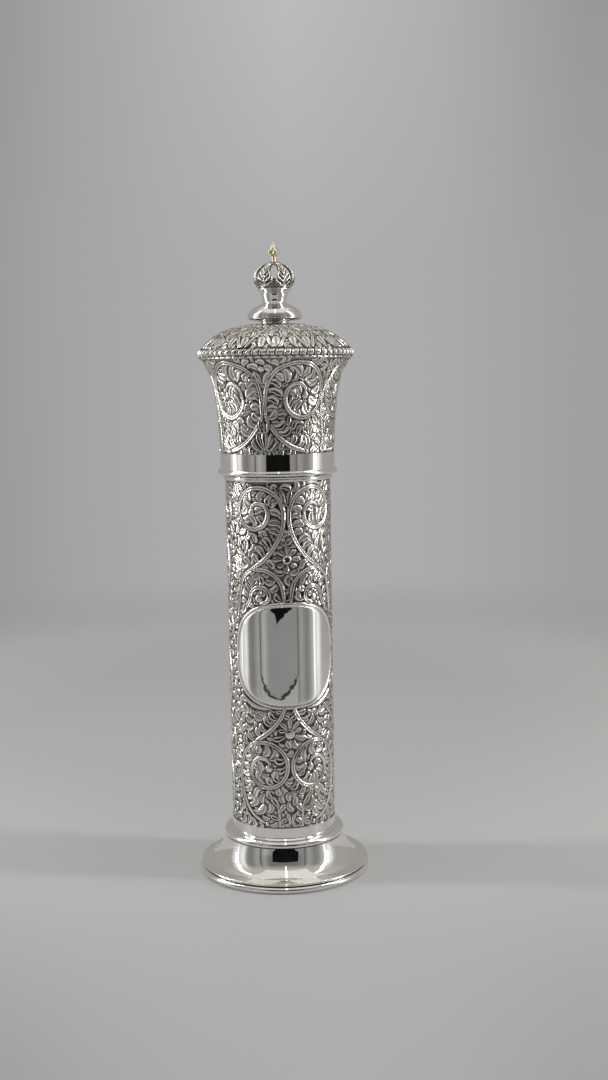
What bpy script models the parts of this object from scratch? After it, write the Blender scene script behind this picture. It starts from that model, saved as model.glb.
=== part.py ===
"""A silver megillah case: a chased tube on a turned foot, with a flared, domed lid, a knob and a crown.

The case stands upright on its foot at z = 0, its axis is Z and its cartouche faces -Y. Sizes are in
millimetres and are turned into metres where a mesh is made. Chased walls are drawn unrolled: x runs
round the wall, from the middle of a panel, and z is the height.
"""

import math

import bmesh
import bpy
import numpy as np
from mathutils import Vector
from mathutils.geometry import delaunay_2d_cdt

MM = 0.001
GAP = 0.3  # left between two pieces that are soldered or rest on each other

# Foot
FOOT_RADIUS = 49.75
FOOT_TOP = 25.0
FLANGE_RADIUS = 48.7
FLANGE_HEIGHT = 5.4
BEAD_HEIGHT = 3.6
COLLAR_RADIUS = 34.9
COLLAR_ROUND = 2.3
COLLAR_SIDE_LOW = 22.0
BELL_TOP_RADIUS = 33.9
BELL_TOP = 20.8
BELL_LOW_RADIUS = 41.0
BELL_LOW = 6.4

# Scroll tube
TUBE_RADIUS = 30.0
TUBE_GROUND = 29.45  # the beaten-back ground between the stems
TUBE_BORE = 28.2
TUBE_FLOOR = 1.5
CHASING_LOW = 31.2
CHASING_HIGH = 226.4
NECK_RADIUS = 29.2
NECK_TOP = 238.5
TUBE_TURN = math.radians(4.6)  # the middle of the front panel

# Mouth
TUBE_WIRE_RADIUS = 31.0
TUBE_WIRE_LOW = CHASING_HIGH + 0.8
TUBE_WIRE_HIGH = 229.8
LID_WIRE_RADIUS = 33.9
LID_WIRE_LOW = TUBE_WIRE_HIGH + GAP
LID_WIRE_HIGH = 232.7

# Lid
BAND_RADIUS = 32.35
SKIRT_LOW = LID_WIRE_HIGH + GAP
SKIRT_CHASING_LOW = 242.2
SKIRT_HIGH = 294.6
SKIRT_WALL = 1.2
SKIRT_TOP_RADIUS = 42.9
SKIRT_FLARE = 4.2  # how far the long, gentle part of the flare reaches out
SKIRT_LIP = 6.0  # how much further the sharp turn under the rim reaches
RIM_RADIUS = 43.9
RIM_LOW = SKIRT_HIGH + GAP
RIM_HIGH = 299.2
RIM_TONGUES = 52
DOME_LOW = RIM_HIGH + GAP
DOME_TOP = 313.5
DOME_RADIUS = 42.3
DOME_WALL = 1.1
DOME_FULLNESS = 0.286  # the smaller it is, the fuller the dome's shoulder
DOME_LEAVES = 28
LID_TURN = math.radians(-15.5)  # the lid is set down a little turned on the tube

# Finial
KNOB_LOW = DOME_TOP + GAP
KNOB_RADIUS = 15.3
KNOB_HIGH = 333.2
CROWN_LOW = KNOB_HIGH + GAP
CROWN_RADIUS = 11.8
CROWN_ARCHES = 6
CROWN_WALL = 1.1
CROWN_CAP_HIGH = 347.6
CROWN_TURN = math.radians(26.5)  # the middle of one arch
BUD_LOW = CROWN_CAP_HIGH + GAP
BUD_TOP = 359.0

# Chasing
STEM_HALF_WIDTH = 1.15
STEM_HEIGHT = 0.85
LEAF_HEIGHT = 0.7
CARTOUCHE_HALF_WIDTH = 32.2
CARTOUCHE_HALF_HEIGHT = 28.2
CARTOUCHE_MIDDLE = 129.9
CARTOUCHE_SQUARENESS = 2.5
CARTOUCHE_BORDER = 1.07  # the border ends at this share of the half width
CARTOUCHE_HEIGHT = 0.9
CLEAR_OF_LINES = 2.4  # plain grid points nearer than this to a line are left out
TUBE_COLUMNS = 32
SKIRT_COLUMNS = 33
SKIRT_MEAN_RADIUS = 38.0
SEAM = -0.272  # where an unrolled wall starts, as a share of the way round
WELD = 0.02


def clear_scene():
    for obj in list(bpy.data.objects):
        bpy.data.objects.remove(obj, do_unlink=True)


def metal(name, colour, roughness):
    material = bpy.data.materials.new(name)
    material.use_nodes = True
    shader = material.node_tree.nodes["Principled BSDF"]
    shader.inputs["Base Color"].default_value = (*colour, 1.0)
    shader.inputs["Metallic"].default_value = 1.0
    shader.inputs["Roughness"].default_value = roughness
    return material


def add_object(name, mesh, material):
    mesh.materials.append(material)
    mesh.shade_smooth()
    mesh.set_sharp_from_angle(angle=math.radians(35))
    obj = bpy.data.objects.new(name, mesh)
    bpy.context.scene.collection.objects.link(obj)
    return obj


def mesh_from(name, points, faces, material):
    """One closed body from points in millimetres, with doubled points welded."""
    mesh = bpy.data.meshes.new(name)
    mesh.from_pydata([tuple(c * MM for c in point) for point in points], [], faces)
    body = bmesh.new()
    body.from_mesh(mesh)
    bmesh.ops.remove_doubles(body, verts=body.verts, dist=WELD * MM)
    bmesh.ops.recalc_face_normals(body, faces=body.faces)
    body.to_mesh(mesh)
    body.free()
    return add_object(name, mesh, material)


def turned(name, profile, steps, material, ring=True):
    """A piece turned on the axis from (radius, height) points that run down its outer side."""
    count = len(profile)
    edges = [(i, i + 1) for i in range(count - 1)]
    if ring:
        edges.append((count - 1, 0))
    mesh = bpy.data.meshes.new(name)
    mesh.from_pydata([(r * MM, 0, z * MM) for r, z in profile], edges, [])
    obj = add_object(name, mesh, material)
    screw = obj.modifiers.new("Turning", "SCREW")
    screw.steps = steps
    screw.render_steps = steps
    screw.use_merge_vertices = True
    screw.merge_threshold = 0.00001
    return obj


def arc(centre, radius, start, end, steps):
    """Points on a circle, from one angle to another in degrees."""
    angles = np.radians(np.linspace(start, end, steps + 1))
    return [(centre[0] + radius * math.cos(a), centre[1] + radius * math.sin(a)) for a in angles]


def bezier(start, pull_start, pull_end, end, steps):
    points = []
    for t in np.linspace(0, 1, steps + 1):
        s = 1 - t
        weights = (s**3, 3 * s * s * t, 3 * s * t * t, t**3)
        corners = (start, pull_start, pull_end, end)
        points.append(tuple(sum(w * c[i] for w, c in zip(weights, corners)) for i in (0, 1)))
    return points


# ---- Chasing: stems, leaves and the cartouche, drawn on the unrolled wall ----


def spline(knots, steps=8):
    """A smooth line through the knots (Catmull-Rom)."""
    knots = np.array(knots, float)
    ends = np.vstack([2 * knots[0] - knots[1], knots, 2 * knots[-1] - knots[-2]])
    line = []
    for a, b, c, d in zip(ends, ends[1:], ends[2:], ends[3:]):
        for t in np.arange(steps) / steps:
            squared = (2 * a - 5 * b + 4 * c - d) * t**2
            cubed = (3 * b - a - 3 * c + d) * t**3
            line.append(0.5 * (2 * b + (c - a) * t + squared + cubed))
    return np.array([*line, knots[-1]])


def volute(centre, radii, start, turn, hold=1.0):
    """A spiral from the first radius to the second. It stays wide longer where hold is above 1."""
    t = np.linspace(0, 1, 60)
    angle = np.radians(start + turn * t)
    radius = radii[1] + (radii[0] - radii[1]) * (1 - t**hold)
    return np.column_stack([centre[0] + radius * np.cos(angle), centre[1] + radius * np.sin(angle)])


def thinned(line, most_turn=33.0, most_length=8.0):
    """Keeps a point where the line has turned or run on by the stated amounts."""
    kept = [line[0]]
    run = 0.0
    turned_by = 0.0
    for a, b, c in zip(line, line[1:], line[2:]):
        run += math.dist(a, b)
        first = math.atan2(b[1] - a[1], b[0] - a[0])
        second = math.atan2(c[1] - b[1], c[0] - b[0])
        turned_by += abs(math.degrees((second - first + math.pi) % (2 * math.pi) - math.pi))
        if turned_by > most_turn or run > most_length:
            kept.append(b)
            run = 0.0
            turned_by = 0.0
    kept.append(line[-1])
    return np.array(kept)


def distance_to(points, start, end):
    """Each point's distance to a straight line, and how far along the line it is nearest."""
    step = end - start
    share = np.clip((points - start) @ step / max(step @ step, 1e-9), 0, 1)
    return np.linalg.norm(points - start - share[:, None] * step, axis=1), share


class Stem:
    """A ridge along a line. It narrows to a point at both ends."""

    def __init__(self, line, half_width=STEM_HALF_WIDTH, height=STEM_HEIGHT):
        self.line = thinned(np.asarray(line))
        count = len(self.line)
        inner = np.ones(count)
        inner[[0, -1]] = 0.0
        self.half_width = half_width * np.where(inner > 0, 1.0, 0.35)
        self.crest = height * np.where(inner > 0, 1.0, 0.35)
        along = np.gradient(self.line, axis=0)
        along /= np.linalg.norm(along, axis=1)[:, None]
        across = np.column_stack([-along[:, 1], along[:, 0]]) * half_width
        left = [*(self.line + across)[1:-1]]
        right = [*(self.line - across)[1:-1]]
        ends = self.line[0], self.line[-1]
        self.chains = [
            np.array([ends[0], *left, ends[1]]),
            self.line,
            np.array([ends[0], *right, ends[1]]),
        ]

    def height(self, points):
        best = np.zeros(len(points))
        for i in range(len(self.line) - 1):
            distance, share = distance_to(points, self.line[i], self.line[i + 1])
            width = self.half_width[i] * (1 - share) + self.half_width[i + 1] * share
            crest = self.crest[i] * (1 - share) + self.crest[i + 1] * share
            best = np.maximum(best, crest * (1 - distance / width))
        return best


class Leaf:
    """A pointed leaf with a raised rib, from its root towards the angle in degrees."""

    def __init__(self, root, angle, length, half_width, height=LEAF_HEIGHT):
        self.root = np.array(root, float)
        self.along = np.array([math.cos(math.radians(angle)), math.sin(math.radians(angle))])
        self.across = np.array([-self.along[1], self.along[0]])
        self.length = length
        self.half_width = half_width
        self.crest = height
        tip = self.root + length * self.along
        belly = self.root + 0.45 * length * self.along
        side = half_width * self.across
        self.chains = [np.array([self.root, belly + k * side, tip]) for k in (-1, 0, 1)]

    def height(self, points):
        s = (points - self.root) @ self.along / self.length
        t = np.abs((points - self.root) @ self.across)
        width = np.interp(s, [0, 0.45, 1], [1e-6, 1, 1e-6]) * self.half_width
        rib = np.interp(s, [0, 0.45, 1], [0.2, 1, 0]) * self.crest
        return np.where((s > 0) & (s < 1), np.maximum(0, rib * (1 - t / width)), 0)


class Ball:
    """A low round boss, such as the eye of a flower."""

    def __init__(self, centre, radius, height):
        self.centre = np.array(centre, float)
        self.radius = radius
        self.crest = height
        circle = np.array(arc(centre, radius, 0, 360, 6))
        self.chains = [circle, np.array([centre, centre], float)]

    def height(self, points):
        distance = np.linalg.norm(points - self.centre, axis=1)
        return self.crest * np.clip(1.25 * (1 - distance / self.radius), 0, 1)


class Cartouche:
    """The polished, pillow-shaped plate between the scrolls, a superellipse with a border."""

    def __init__(self, middle):
        self.middle = np.array(middle, float)
        self.chains = [self.loop(CARTOUCHE_BORDER, 28), self.loop(1.0, 28), self.loop(0.86, 20)]

    def loop(self, share, steps):
        angles = np.linspace(0, 2 * math.pi, steps + 1)
        power = 2 / CARTOUCHE_SQUARENESS
        x = np.sign(np.cos(angles)) * np.abs(np.cos(angles)) ** power
        z = np.sign(np.sin(angles)) * np.abs(np.sin(angles)) ** power
        size = share * np.array([CARTOUCHE_HALF_WIDTH, CARTOUCHE_HALF_HEIGHT])
        return self.middle + np.column_stack([x, z]) * size

    def height(self, points):
        size = np.array([CARTOUCHE_HALF_WIDTH, CARTOUCHE_HALF_HEIGHT])
        shares = np.abs(points - self.middle) / size
        out = (shares**CARTOUCHE_SQUARENESS).sum(axis=1) ** (1 / CARTOUCHE_SQUARENESS)
        pillow = CARTOUCHE_HEIGHT * np.interp(out, [0, 0.6, 0.86, 1.0], [1.25, 1.2, 1.0, 0.55])
        border = 0.55 * CARTOUCHE_HEIGHT * (CARTOUCHE_BORDER - out) / (CARTOUCHE_BORDER - 1)
        return np.where(out > 1, border, pillow)


def leaves_along(line, shares, side, length, lean):
    """Leaves that spring from one side of a stem, leaning on from its direction."""
    leaves = []
    line = np.asarray(line)
    for share in shares:
        i = int(share * (len(line) - 2))
        step = line[i + 1] - line[i]
        angle = math.degrees(math.atan2(step[1], step[0])) + side * lean
        across = np.array([-step[1], step[0]]) / np.linalg.norm(step)
        root = line[i] + side * across * (STEM_HALF_WIDTH + 0.5)
        leaves.append((root, angle, length, 0.3 * length))
    return leaves


def flower(centre, petals, length):
    """A ball with petals round it, as Leaf sizes."""
    leaves = []
    for k in range(petals):
        angle = 90 + 360 * k / petals
        out = np.array([math.cos(math.radians(angle)), math.sin(math.radians(angle))])
        leaves.append((np.array(centre) + 2.6 * out, angle, length, 0.3 * length))
    return leaves


def tube_panel():
    """The scrollwork of one panel of the tube, its left half, as lines and leaves."""
    rise = [(-20.6, 178.6), (-12.5, 184.5), (-6.2, 192.4), (-2.4, 201), (-1.6, 210), (-4, 219), (-10, 223.8)]
    upper = np.vstack([spline(rise)[:-1], volute((-17.4, 210.3), (14.0, 2.6), 100, 440)])
    small_arch = spline([(-20.6, 178.6), (-13, 178.2), (-6.9, 174.9), (-3.1, 169.3), (-1.9, 161.5)])
    side = spline([(-20.6, 178.6), (-26.5, 173.5), (-29.2, 166), (-30.5, 158.5)])
    small = np.vstack([
        spline([(-24.5, 158.3), (-22.8, 160.2)])[:-1],
        volute((-14.8, 162.9), (7.3, 1.8), 190, -350),
    ])
    outer = spline([
        (-2.5, 98.6), (-5.6, 93.8), (-11.9, 86.8), (-20.6, 80.5), (-27.4, 74.5),
        (-31, 66), (-31.3, 57), (-28.6, 46.5), (-22.5, 38.2), (-14, 33.8),
    ])  # fmt: skip
    lower = np.vstack([
        spline([(-22.5, 79.4), (-19.5, 80.2)])[:-1],
        volute((-14.8, 65.6), (15.0, 2.4), 100, -460, hold=1.3),
    ])
    sprig = spline([(-6.6, 33.8), (-6.9, 41), (-7.5, 46.5)])
    lines = [upper, small_arch, side, small, outer, lower, sprig]
    leaves = [
        *leaves_along(upper, (0.12, 0.2, 0.3), 1, 6.5, 55),
        *leaves_along(upper[60:], (0.2, 0.42, 0.6), 1, 5.0, 60),
        *leaves_along(outer, (0.3, 0.62, 0.8), -1, 5.0, 50),
        *leaves_along(lower, (0.3, 0.5, 0.72), -1, 5.0, 60),
        *leaves_along(sprig, (0.35, 0.85), 1, 5.0, 45),
        *leaves_along(sprig, (0.35, 0.85), -1, 5.0, 45),
        ((-25.5, 190), 70, 7.0, 2.1),
        ((-27, 193), 15, 6.0, 1.9),
    ]
    return lines, leaves


def trail_line(low, high):
    """The winding stem that fills the wall between two panels."""
    z = np.linspace(low, high, 60)
    return np.column_stack([5.5 * np.sin(2 * math.pi * (z - low) / 65), z])


def tube_chasing():
    half_turn = math.pi * TUBE_RADIUS
    features = []
    lines, front_leaves = tube_panel()
    for panel in (0.0, half_turn):
        leaves = front_leaves if panel == 0 else []
        for flip in (1, -1):
            for line in lines:
                features.append(Stem(line * [flip, 1] + [panel, 0]))
            for root, angle, length, width in leaves:
                turned_to = angle if flip > 0 else 180 - angle
                features.append(Leaf(root * np.array([flip, 1]) + [panel, 0], turned_to, length, width))
        for centre in ((panel, 184.0), (panel, 85.5)):
            features += [Leaf(*sizes) for sizes in flower(centre, 6, 5.2)]
            features.append(Ball(centre, 2.1, 1.0))
        features.append(Cartouche((panel, CARTOUCHE_MIDDLE)))
        side = trail_line(CHASING_LOW + 3, CHASING_HIGH - 3) + [panel + half_turn / 2, 0]
        features.append(Stem(side))
        for flip in (1, -1):
            shares = [s for s in np.linspace(0.1, 0.9, 9) if flip * math.sin(6 * math.pi * s) < 0]
            for root, angle, length, width in leaves_along(side, shares, -flip, 8.0, 35):
                features.append(Leaf(root, angle, length, width))
    return features


def skirt_panel():
    """The right half of one of the three panels of the lid's skirt."""
    scroll = np.vstack([
        spline([(1.3, 262.8), (1.2, 274), (3.0, 281.5), (6.6, 287.1), (12.8, 291.2)])[:-1],
        volute((22.6, 274.3), (18.4, 3.4), 102, -462),
    ])
    foot_stem = spline([(1.3, 262.8), (5.1, 256.5), (11.4, 250.6), (20.9, 246.3), (33, 244.6)])
    lines = [scroll, foot_stem]
    leaves = [
        *leaves_along(scroll, (0.16, 0.26), -1, 5.5, 55),
        *leaves_along(scroll[40:], (0.25, 0.5), -1, 5.0, 60),
        *leaves_along(foot_stem, (0.35, 0.6), 1, 6.5, 45),
    ]
    return lines, leaves


def skirt_chasing():
    features = []
    around = 2 * math.pi * SKIRT_MEAN_RADIUS
    lines, leaves = skirt_panel()
    for k in range(3):
        panel = around * k / 3
        for flip in (1, -1):
            for line in lines:
                features.append(Stem(line * [flip, 1] + [panel, 0]))
            for root, angle, length, width in leaves:
                turned_to = angle if flip > 0 else 180 - angle
                features.append(Leaf(root * np.array([flip, 1]) + [panel, 0], turned_to, length, width))
        for angle in (-62, 62):
            features.append(Leaf((panel, 247.0), 90 + angle, 6.0, 1.9))
        features.append(Leaf((panel, 246.5), 90, 9.0, 2.2))
        features.append(Leaf((panel, 284.5), 90, 8.0, 2.4))
    return features


# ---- A chased wall: the drawing, triangulated, rolled up and closed ----


def unrolled_mesh(features, around, low, high, columns, rows):
    """Triangles over the unrolled wall that follow every crest and edge of the chasing. A feature that
    crosses the seam is drawn at both of its ends, so that the two ends match when the wall is rolled up."""
    left = SEAM * around
    right = left + around
    grid_x = np.linspace(left, right, columns + 1)
    grid_z = np.linspace(low, high, rows + 1)
    points = np.array([(x, z) for x in grid_x for z in grid_z])
    on_edge = np.isin(points[:, 0], (left, right)) | np.isin(points[:, 1], (low, high))
    crowded = np.zeros(len(points), bool)
    sides = [[(x, z) for z in grid_z] for x in (left, right)] + [[(x, z) for x in grid_x] for z in (low, high)]
    chains = [np.array(side) for side in sides]
    for feature in features:
        for shift in (-around, 0, around):
            for chain in feature.chains:
                line = chain + [shift, 0]
                if line[:, 0].max() > left and line[:, 0].min() < right:
                    chains.append(line)
                    for a, b in zip(line, line[1:]):
                        crowded |= distance_to(points, a, b)[0] < CLEAR_OF_LINES
    vertices = [tuple(p) for p in points[~on_edge & ~crowded]]
    edges = []
    for chain in chains:
        first = len(vertices)
        vertices += [tuple(p) for p in chain]
        edges += [(first + i, first + i + 1) for i in range(len(chain) - 1)]
    corners, _, triangles, _, _, _ = delaunay_2d_cdt([Vector(v) for v in vertices], edges, [], 0, 0.01)
    corners = np.array([tuple(c) for c in corners])
    middle = [corners[list(t), 0].mean() for t in triangles]
    kept = [tuple(t) for t, x in zip(triangles, middle) if left < x < right]
    height = np.zeros(len(corners))
    for feature in features:
        for shift in (-around, 0, around):
            height = np.maximum(height, feature.height(corners - [shift, 0]))
    height[(corners[:, 1] < low + 0.01) | (corners[:, 1] > high - 0.01)] = 0
    used = sorted({i for t in kept for i in t})
    number = {old: new for new, old in enumerate(used)}
    return corners[used], height[used], [tuple(number[i] for i in t) for t in kept]


def chased_wall(name, drawing, mean_radius, radius_at, rest, columns, turn, material):
    """The chased outside, rolled up, with the rest of its section: (radius, height) points that run
    from the top of the chasing over the mouth, down the inside and up again to its lowest edge."""
    corners, height, triangles = drawing
    angle = corners[:, 0] / mean_radius + turn
    radius = np.array([radius_at(z) for z in corners[:, 1]]) + height
    points = [*zip(radius * np.sin(angle), -radius * np.cos(angle), corners[:, 1])]
    faces = list(triangles)
    low, high = corners[:, 1].min(), corners[:, 1].max()
    section = [(radius_at(high), high), *rest, (radius_at(low), low)]
    start = SEAM * 2 * math.pi + turn
    rings = []
    for r, z in section:
        first = len(points)
        steps = columns if r > 0 else 1
        for k in range(steps):
            a = start + 2 * math.pi * k / columns
            points.append((r * math.sin(a), -r * math.cos(a), z))
        rings.append([first + k % steps for k in range(columns)])
    for upper, lower in zip(rings, rings[1:]):
        for k in range(columns):
            n = (k + 1) % columns
            corner = dict.fromkeys((upper[k], upper[n], lower[n], lower[k]))
            if len(corner) > 2:
                faces.append(tuple(corner))
    return mesh_from(name, points, faces, material)


# ---- The pieces ----


def foot_profile():
    bead = arc((FOOT_RADIUS - BEAD_HEIGHT / 2, BEAD_HEIGHT / 2), BEAD_HEIGHT / 2, 70, -90, 3)
    edge = [(FLANGE_RADIUS - 0.8, FLANGE_HEIGHT), (FLANGE_RADIUS, FLANGE_HEIGHT - 0.8)]
    round_centre = (COLLAR_RADIUS - COLLAR_ROUND, COLLAR_SIDE_LOW)
    collar = [
        (TUBE_RADIUS + 0.1, FOOT_TOP),
        *arc(round_centre, COLLAR_ROUND, 85, 0, 3),
        (COLLAR_RADIUS - 0.3, COLLAR_SIDE_LOW - 0.8),
    ]
    bell = bezier((BELL_TOP_RADIUS, BELL_TOP), (34.4, 16.5), (37.4, 11.2), (BELL_LOW_RADIUS, BELL_LOW), 4)
    fillet = [(BELL_LOW_RADIUS + 1.7, FLANGE_HEIGHT + 0.1)]
    inside = [
        (FLANGE_RADIUS - 2.6, 0.0),
        (FLANGE_RADIUS - 2.6, BEAD_HEIGHT),
        (42.2, 4.1),
        (38.4, 9.0),
        (35.2, 13.3),
        (33.1, 17.6),
        (32.3, 22.4),
        (27.6, FOOT_TOP - 1.5),
        (27.6, FOOT_TOP),
    ]
    return [*collar, *bell, *fillet, *edge, *bead, *inside]


def make_foot(material):
    turned("foot", foot_profile(), 32, material)


def make_tube(material):
    drawing = unrolled_mesh(
        tube_chasing(), 2 * math.pi * TUBE_RADIUS, CHASING_LOW, CHASING_HIGH, TUBE_COLUMNS, 11
    )
    bottom = FOOT_TOP + GAP
    rest = [
        (NECK_RADIUS, CHASING_HIGH + 0.5),
        (NECK_RADIUS, NECK_TOP),
        (TUBE_BORE, NECK_TOP),
        (TUBE_BORE, bottom + TUBE_FLOOR),
        (0.0, bottom + TUBE_FLOOR),
        (0.0, bottom),
        (TUBE_RADIUS, bottom),
        (TUBE_RADIUS, CHASING_LOW - 0.4),
    ]
    chased_wall(
        "scroll_tube", drawing, TUBE_RADIUS, lambda z: TUBE_GROUND, rest, TUBE_COLUMNS, TUBE_TURN, material
    )


def wire_profile(outer, low, high):
    inner = TUBE_GROUND + 0.05
    middle = (low + high) / 2
    half = (high - low) / 2
    round_side = arc((outer - half, middle), half, 90, -90, 3)
    return [(inner, high), *round_side, (inner, low)]


def skirt_radius(z):
    """The skirt rises straight from its band and flares out towards the rim."""
    share = max(0.0, z - SKIRT_CHASING_LOW) / (SKIRT_HIGH - SKIRT_CHASING_LOW)
    flare = SKIRT_FLARE * share**1.35 + SKIRT_LIP * share**6.5
    return BAND_RADIUS + flare - STEM_HEIGHT * 0.6


def make_skirt(material):
    around = 2 * math.pi * SKIRT_MEAN_RADIUS
    drawing = unrolled_mesh(skirt_chasing(), around, SKIRT_CHASING_LOW, SKIRT_HIGH - 0.7, SKIRT_COLUMNS, 5)
    inside = [(skirt_radius(z) - SKIRT_WALL, z) for z in np.linspace(SKIRT_HIGH, SKIRT_CHASING_LOW, 4)]
    rest = [
        (SKIRT_TOP_RADIUS, SKIRT_HIGH - 0.4),
        (SKIRT_TOP_RADIUS, SKIRT_HIGH),
        *inside,
        (inside[-1][0], SKIRT_LOW),
        (BAND_RADIUS, SKIRT_LOW),
        (BAND_RADIUS, SKIRT_CHASING_LOW - 0.4),
    ]
    chased_wall(
        "lid_skirt", drawing, SKIRT_MEAN_RADIUS, skirt_radius, rest, SKIRT_COLUMNS, LID_TURN, material
    )


def lobed_ring(name, rings, lobes, material, closed):
    """A body of revolution whose radius swells with each lobe. Each ring gives its radius and height
    on a lobe and between two lobes. A ring at radius 0 closes the body on its axis."""
    columns = 2 * lobes
    points = []
    faces = []
    indices = []
    for on_lobe, between in rings:
        first = len(points)
        steps = columns if on_lobe[0] > 0 else 1
        for k in range(steps):
            r, z = on_lobe if k % 2 == 0 else between
            a = LID_TURN + 2 * math.pi * k / columns
            points.append((r * math.sin(a), -r * math.cos(a), z))
        indices.append([first + k % steps for k in range(columns)])
    pairs = list(zip(indices, indices[1:]))
    if closed:
        pairs.append((indices[-1], indices[0]))
    for upper, lower in pairs:
        for k in range(columns):
            n = (k + 1) % columns
            corner = tuple(dict.fromkeys((upper[k], upper[n], lower[n], lower[k])))
            if len(corner) > 2:
                faces.append(corner)
    return mesh_from(name, points, faces, material)


def make_rim(material):
    belly = (RIM_LOW + RIM_HIGH) / 2
    top = (RIM_RADIUS - 1.7, RIM_HIGH)
    bottom = (RIM_RADIUS - 1.6, RIM_LOW)
    rings = [(top, top), ((RIM_RADIUS, belly), (RIM_RADIUS - 0.9, belly)), (bottom, bottom)]
    lobed_ring("lid_rim", rings, RIM_TONGUES, material, closed=True)


def dome_radius(z):
    """The dome's outline: a shallow cap that turns over towards the rim."""
    share = (z - DOME_LOW) / (DOME_TOP - DOME_LOW)
    return DOME_RADIUS * (1 - share) ** DOME_FULLNESS if share < 1 else 0.0


def make_dome(material):
    heights = [DOME_LOW, 301.6, 305.0, 307.4, 310.8, 312.6]
    lift = [0.0, 0.7, 0.1, 0.7, 0.2, 0.0]
    outside = []
    for z, rise in zip(heights, lift):
        r = dome_radius(z)
        slope = rise * 0.7
        outside.append(((r + slope, z + slope), (r - 0.2, z - 0.2 * (rise > 0))))
    inside = []
    for z in (310.6, 306.5, DOME_LOW):
        r = dome_radius(z + DOME_WALL * 0.7) - DOME_WALL
        inside.append(((r, z), (r, z)))
    top = ((0.0, DOME_TOP), (0.0, DOME_TOP))
    seat = ((8.0, DOME_TOP), (8.0, DOME_TOP))
    under = ((0.0, DOME_TOP - DOME_WALL), (0.0, DOME_TOP - DOME_WALL))
    rings = [top, seat, *reversed(outside), *reversed(inside), under]
    lobed_ring("lid_dome", rings, DOME_LEAVES, material, closed=False)


def make_knob(material):
    disc = bezier((6.7, 325.3), (9.4, 323.9), (14.9, 321.9), (KNOB_RADIUS, 317.0), 4)
    profile = [
        (0.0, KNOB_HIGH),
        (9.1, KNOB_HIGH),
        (9.2, KNOB_HIGH - 0.8),
        (8.0, KNOB_HIGH - 2.3),
        (7.3, 328.6),
        *disc,
        (KNOB_RADIUS - 0.8, 316.1),
        (8.6, 315.0),
        (8.1, 314.5),
        (8.7, KNOB_LOW),
        (0.0, KNOB_LOW),
    ]
    turned("knob", profile, 18, material, ring=False)


def make_crown(material):
    """A ring, six broad leaves that arch up and in, and the small cap where they meet, cut from one
    sheet. Each row gives its height, its radius and how far each leaf reaches to either side."""
    low = CROWN_LOW
    wide = CROWN_RADIUS
    rows = [
        (low, wide - 3.0, 29.0),
        (low + 1.5, wide - 2.0, 29.0),
        (low + 3.4, wide - 0.6, 27.5),
        (low + 5.6, wide, 27.0),
        (low + 8.6, wide - 1.2, 18.0),
        (low + 11.2, wide - 4.0, 17.0),
        (low + 13.0, wide - 7.8, 24.0),
    ]
    leaf_rows = range(1, 5)  # between these rows the sheet is cut away beside the leaves
    body = bmesh.new()
    columns = []
    for k in range(CROWN_ARCHES):
        middle = CROWN_TURN + 2 * math.pi * k / CROWN_ARCHES
        for place in (-0.5, -1, 0, 1):
            column = []
            for z, r, reach in rows:
                away = math.pi / CROWN_ARCHES if place == -0.5 else math.radians(reach)
                a = middle + (-away if place == -0.5 else place * away)
                out = (r + (0.35 if place == 0 else 0.0)) * MM
                column.append(body.verts.new((out * math.sin(a), -out * math.cos(a), z * MM)))
            columns.append(column)
    tip = body.verts.new((0, 0, CROWN_CAP_HIGH * MM))
    for k, column in enumerate(columns):
        after = columns[(k + 1) % len(columns)]
        in_gap = k % 4 in (0, 3)
        for row in range(len(rows) - 1):
            if not (in_gap and row in leaf_rows):
                body.faces.new((column[row], after[row], after[row + 1], column[row + 1]))
        body.faces.new((column[-1], after[-1], tip))
    loose = [v for v in body.verts if not v.link_faces]
    bmesh.ops.delete(body, geom=loose, context="VERTS")
    bmesh.ops.recalc_face_normals(body, faces=body.faces)
    mesh = bpy.data.meshes.new("crown")
    body.to_mesh(mesh)
    body.free()
    crown = add_object("crown", mesh, material)
    sheet = crown.modifiers.new("Sheet", "SOLIDIFY")
    sheet.thickness = CROWN_WALL * MM
    sheet.offset = -1


def make_bud(material):
    profile = [
        (0.0, BUD_TOP),
        (0.75, 356.9),
        (1.9, 355.4),
        (2.9, 353.6),
        (2.2, 352.3),
        (1.25, 351.0),
        (1.2, 349.6),
        (1.9, BUD_LOW),
        (0.0, BUD_LOW),
    ]
    turned("bud", profile, 8, material, ring=False)


def main():
    clear_scene()
    polished = metal("Polished silver", (0.86, 0.85, 0.82), 0.16)
    chased = metal("Chased silver", (0.74, 0.73, 0.70), 0.3)
    gilt = metal("Gilt", (0.86, 0.74, 0.45), 0.28)
    make_foot(polished)
    make_tube(chased)
    tube_wire = wire_profile(TUBE_WIRE_RADIUS, TUBE_WIRE_LOW, TUBE_WIRE_HIGH)
    lid_wire = wire_profile(LID_WIRE_RADIUS, LID_WIRE_LOW, LID_WIRE_HIGH)
    turned("tube_wire", tube_wire, 24, polished)
    turned("lid_wire", lid_wire, 24, polished)
    make_skirt(chased)
    make_rim(chased)
    make_dome(chased)
    make_knob(polished)
    make_crown(chased)
    make_bud(gilt)


main()
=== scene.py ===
"""The looks of a silver megillah case: chased silver with dark recesses, polished silver and a gilt bud.

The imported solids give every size. Sizes of the chasing are in millimetres. A chased wall is drawn
unrolled, as the height of its relief: x runs round the wall from the middle of a panel, and z is up.
"""

import math

import bmesh
import bpy
import numpy as np
from mathutils import Matrix


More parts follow.
